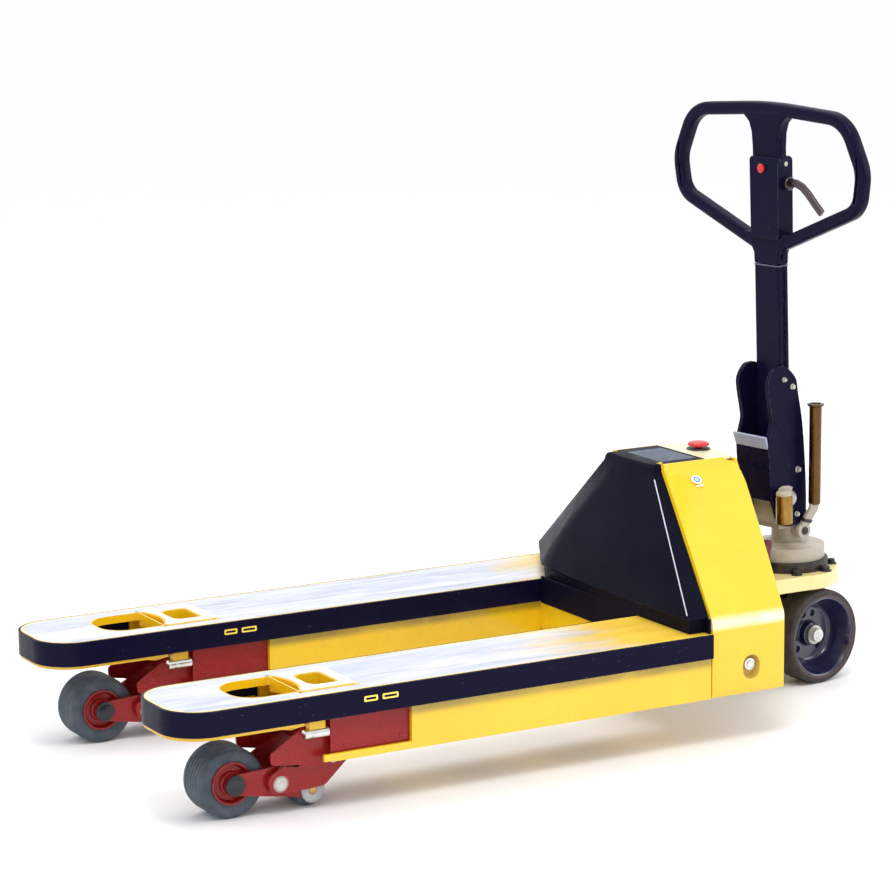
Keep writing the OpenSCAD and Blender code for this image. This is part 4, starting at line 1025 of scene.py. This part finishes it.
# the bent top edge of the web in a light navy: a painted highlight
plate("yoke_web_lip", [[(-84.2, 425.5), (-91.4, 447.4), (-88.2, 449.6), (-85.4, 446), (-83, 430)]], "y",
    -40.5, 40.5, paint("navy_edge_painted_highlight", (0.30, 0.34, 0.48), (0.9, 0.9, 0.95), 0.18, 0.6, 0.5, 0.6),
    "drawbar", DRAWBAR, bevel=1)
bm = bmesh.new()
for x, z, r in ((-32, 330, 10.4), (-14, 380, 4.6), (-18, 300, 4), (-24, 530, 4), (-44, 545, 3.4)):
    washer, tip, middle, n = (3.4, 48, 48, 40) if r > 9 else (1.2, 45, 45.4, 20)
    flange = r + washer
    head = [(0, 40), (flange, 40.6), (flange, 43), (r, 44), (r, 46.6), (r - 1.6, tip), (0, middle)]
    lathe_pair(bm, head, (x, z), n)
add("yoke_bolt_heads", bm, BOLT, "drawbar", DRAWBAR, replaces=["yoke_bolts"])
# golden spring can beside the pivot, with a light cap
turning("spring_can", [(0, 292), (13, 292), (14.8, 294), (15, 300), (15, 340), (14, 344), (0, 344)],
    "z", (-64, -58), 40, steel("golden_can", (0.42, 0.24, 0.06), 0.22, 0.95, 0.35), "drawbar", DRAWBAR,
    replaces=["tilt_spring"])
bm = bmesh.new()
lathe(bm, [(0, 344), (14.2, 344), (14.6, 346), (13.4, 350), (9, 353), (0, 353.6)], "z", (-64, -58), 40)
sweep(bm, [(-62, -44, 348), (-52, -43, 351), (-40, -42.6, 350), (-30, -42.4, 346)],
    rect(-5, -2, 5, 2, 1, 3), up=(0, -1, 0))
add("spring_cap", bm, BEIGE, "drawbar", DRAWBAR, bevel=0.6)

# column: open channel with rounded corners and a ridge on each side
HALF_D, HALF_W = 13.0, 31.0


def column_section(half_d, half_w, groove):
    right = [(half_d, -half_w + 4), (half_d, half_w - 4), (half_d - 4, half_w), (3.5, half_w),
        (2.5, half_w - groove), (-3.5, half_w - groove), (-4.5, half_w), (-half_d + 4, half_w),
        (-half_d, half_w - 4)]
    left = [(-half_d, -half_w + 4), (-half_d + 4, -half_w), (-4.5, -half_w), (-3.5, -half_w + groove),
        (2.5, -half_w + groove), (3.5, -half_w), (half_d - 4, -half_w)]
    return [(x + LEAN_X, y) for x, y in right + left]


plate("column_channel", [column_section(HALF_D, HALF_W, 3.5)], "z", 407, 744.6, NAVY, "drawbar",
    DRAWBAR, bevel=1.6, replaces=["drawbar_tube"])
plate("column_seam", [column_section(HALF_D + 0.8, HALF_W + 0.8, 2)], "z", 742.4, 744.4,
    plastic("seam_line", (0.06, 0.07, 0.14), 0.3, 0.1), "drawbar", DRAWBAR)

# handle loop: soft-cornered bar, slots in the side bars, filleted stem
LOOP_TOP, LOOP_HALF, BAR = 1018.0, 226.0, 12.0
loop = rounded([(-186, LOOP_TOP - 12, 62), (0, LOOP_TOP, 900), (186, LOOP_TOP - 12, 62),
    (LOOP_HALF, 920, 62), (LOOP_HALF - 10, 856, 42), (0, 768, 22), (-LOOP_HALF + 10, 856, 42),
    (-LOOP_HALF, 920, 62)], 12)
section = rect(-11.6, -BAR, 11.6, BAR, 7, 4)
bm = bmesh.new()
sweep(bm, [(LEAN_X, y, z) for y, z in loop], section, up=(1, 0, 0), closed=True)
handle = add("handle_bar", bm, NAVY, "drawbar", DRAWBAR, replaces=["handle_loop"], angle=50)
for sign in (-1, 1):
    line = [(213.5, 866), (218.5, 892), (221.5, 920), (219, 946)]
    rim = [(sign * (y + 2.8), z) for y, z in line] + [(sign * (y - 2.8), z) for y, z in reversed(line)]
    tool = bmesh.new()
    prism(tool, [rim], "x", LEAN_X - 40, LEAN_X + 40)
    cut(handle, tool, DRAWBAR)
shade(handle.data, 45)

flare = [(30, 748), (30, 760), (31, 950), (33, 975), (39, 992), (52, 1004), (64, 1010), (-64, 1010),
    (-52, 1004), (-39, 992), (-33, 975), (-31, 950), (-30, 760), (-30, 748)]
bm = bmesh.new()
prism(bm, [flare], "x", LEAN_X - 12, LEAN_X + 12)
foot = [(-30, 745.4), (30, 745.4), (31, 764), (44, 788), (58, 800), (-58, 800), (-44, 788), (-31, 764)]
prism(bm, [foot], "x", LEAN_X - 13, LEAN_X + 13)
add("handle_stem", bm, NAVY, "drawbar", DRAWBAR, bevel=3.2, segments=4)
bm = bmesh.new()
for sign in (-1, 1):
    ridge = [(-4, 0), (-3, 3.4), (3, 3.4), (4, 0)]
    sweep(bm, [(LEAN_X, sign * 30.6, z) for z in (752, 800, 900, 996)],
        [(v * sign, u) for u, v in ridge], up=(1, 0, 0))
add("stem_ridges", bm, NAVY, "drawbar", DRAWBAR, bevel=0.8)
bm = bmesh.new()
shell = rounded([(-37, 792, 6), (31, 792, 6), (31.6, 934, 8), (-38.4, 934, 8)], 5)
prism(bm, [shell, circle(0, 914, 6.3)], "x", LEAN_X - 18, LEAN_X - 11)
prism(bm, [shell], "x", LEAN_X - 11, LEAN_X + 18)
add("control_box", bm, NAVY, "drawbar", DRAWBAR, bevel=3, segments=4)
bm = bmesh.new()
for sign, at in ((-1, 36), (1, 29.6)):
    lathe(bm, [(0, sign * at), (4.4, sign * (at + 2.2)), (4.2, sign * (at + 2.9)),
        (0, sign * (at + 3.2))], "y", (LEAN_X + 2, 922), 20)
add("control_box_screws", bm, BOLT, "drawbar", DRAWBAR)
turning("thumb_cap", shift([(0, -15), (5.9, -15), (5.9, -21.2), (7.8, -21.4), (8, -22.6), (6.6, -23.8),
    (0, -24)], LEAN_X), "x", (0, 914), 36, RED_PLASTIC, "thumb_button", DRAWBAR,
    replaces=["thumb_button"])
# curved control lever
bm = bmesh.new()
line = [Vector((LEAN_X + 4, y, z)) for y, z in ((-38.6, 888), (-50, 890), (-62, 889.5), (-76, 884),
    (-90, 873), (-104, 859), (-122, 842))]
blade = rect(-7, -3.6, 7, 3.6, 2.4, 4)
sweep(bm, line, blade, up=(1, 0, 0.001))
lathe(bm, [(0, -38.4), (11, -38.6), (12, -40), (12, -46), (10.6, -47.6), (0, -48)], "y",
    (LEAN_X + 4, 888), 32)
add("control_blade", bm, steel("dark_lever", (0.10, 0.085, 0.09), 0.22, 0.9, 0.3), "control_lever",
    DRAWBAR, bevel=0.6, replaces=["control_lever"])

PALE_YELLOW = paint("pale_yellow_enamel", (0.90, 0.76, 0.34), (0.95, 0.9, 0.7), 0.3, 0.5, 0.25)
frame["nodes"]["chassis_plate"].data.materials[0] = PALE_YELLOW
# fork beams: a dark band under the trim is a painted shadow, the dark edges are grime
GRIMY_YELLOW_PAINTED_SHADOW = paint("grimy_yellow_enamel_painted_shadow", (0.90, 0.56, 0.004), (0.36, 0.25, 0.012), 0.28, 0.35, 0.14,
    0.6, 0.5, (TRIM_Z - 6) * MM)
for side in FORK:
    frame["nodes"][f"fork_beam_{side}"].data.materials[0] = GRIMY_YELLOW_PAINTED_SHADOW
frame["nodes"]["hose_connectors"].data.materials[0] = plastic("dull_red_cap", (0.10, 0.006, 0.008), 0.4,
    0.2)

# ---------- floor, light and camera ----------
floor_mesh = bpy.data.meshes.new("studio_floor")
FLOOR_HALF = 60
corners = [(u * FLOOR_HALF, v * FLOOR_HALF, 0) for u, v in ((-1, -1), (1, -1), (1, 1), (-1, 1))]
floor_mesh.from_pydata(corners, [], [(0, 1, 2, 3)])
floor = bpy.data.objects.new("studio_floor", floor_mesh)
scene.collection.objects.link(floor)
g = Graph("pale_floor")
floor.data.materials.append(g.shade(g.mix(g.noise(2, 3), (0.95, 0.95, 0.955), (0.925, 0.925, 0.935)),
    0.7))

world = bpy.data.worlds.new("studio")
world.use_nodes = True
sky = world.node_tree.nodes["Background"].inputs
sky["Color"].default_value = (0.97, 0.98, 1.0, 1)
sky["Strength"].default_value = 1.07
scene.world = world


def area_light(name, place, target, size, power, colour=(1, 1, 1)):
    data = bpy.data.lights.new(name, "AREA")
    data.shape = "RECTANGLE"
    data.size, data.size_y = size
    data.energy = power
    data.color = colour
    lamp = bpy.data.objects.new(name, data)
    lamp.location = place
    lamp.rotation_euler = (Vector(target) - Vector(place)).to_track_quat("-Z", "Y").to_euler()
    scene.collection.objects.link(lamp)


area_light("key", (-0.9, -1.9, 4.2), (0, 0, 0.2), (1.6, 1.2), 70, (1, 0.985, 0.96))
area_light("overhead", (0.3, 1.2, 3.4), (0, 0, 0.1), (3.0, 2.0), 40)
area_light("fill", (3.4, -1.6, 1.8), (0.3, 0, 0.3), (1.8, 1.8), 22, (0.95, 0.97, 1))

scene.view_settings.view_transform = "Standard"

# turn, dip and roll in radians, lens in millimetres
CAMERA_AT = Vector((TIP_X - 1.89828, -4.53756, 1.46320))
CAMERA_TURN = 0.5137
CAMERA_DIP = 0.1864
CAMERA_ROLL = 0.0094
CAMERA_LENS = 127.79
camera_data = bpy.data.cameras.new("camera")
camera_data.lens = CAMERA_LENS
camera_data.sensor_width = 36
camera = bpy.data.objects.new("camera", camera_data)
camera.location = CAMERA_AT
ahead = Vector((math.sin(CAMERA_TURN), math.cos(CAMERA_TURN), -math.tan(CAMERA_DIP)))
camera.rotation_mode = "QUATERNION"
roll = Euler((0, 0, -CAMERA_ROLL)).to_quaternion()
camera.rotation_quaternion = ahead.to_track_quat("-Z", "Y") @ roll
scene.collection.objects.link(camera)
scene.camera = camera
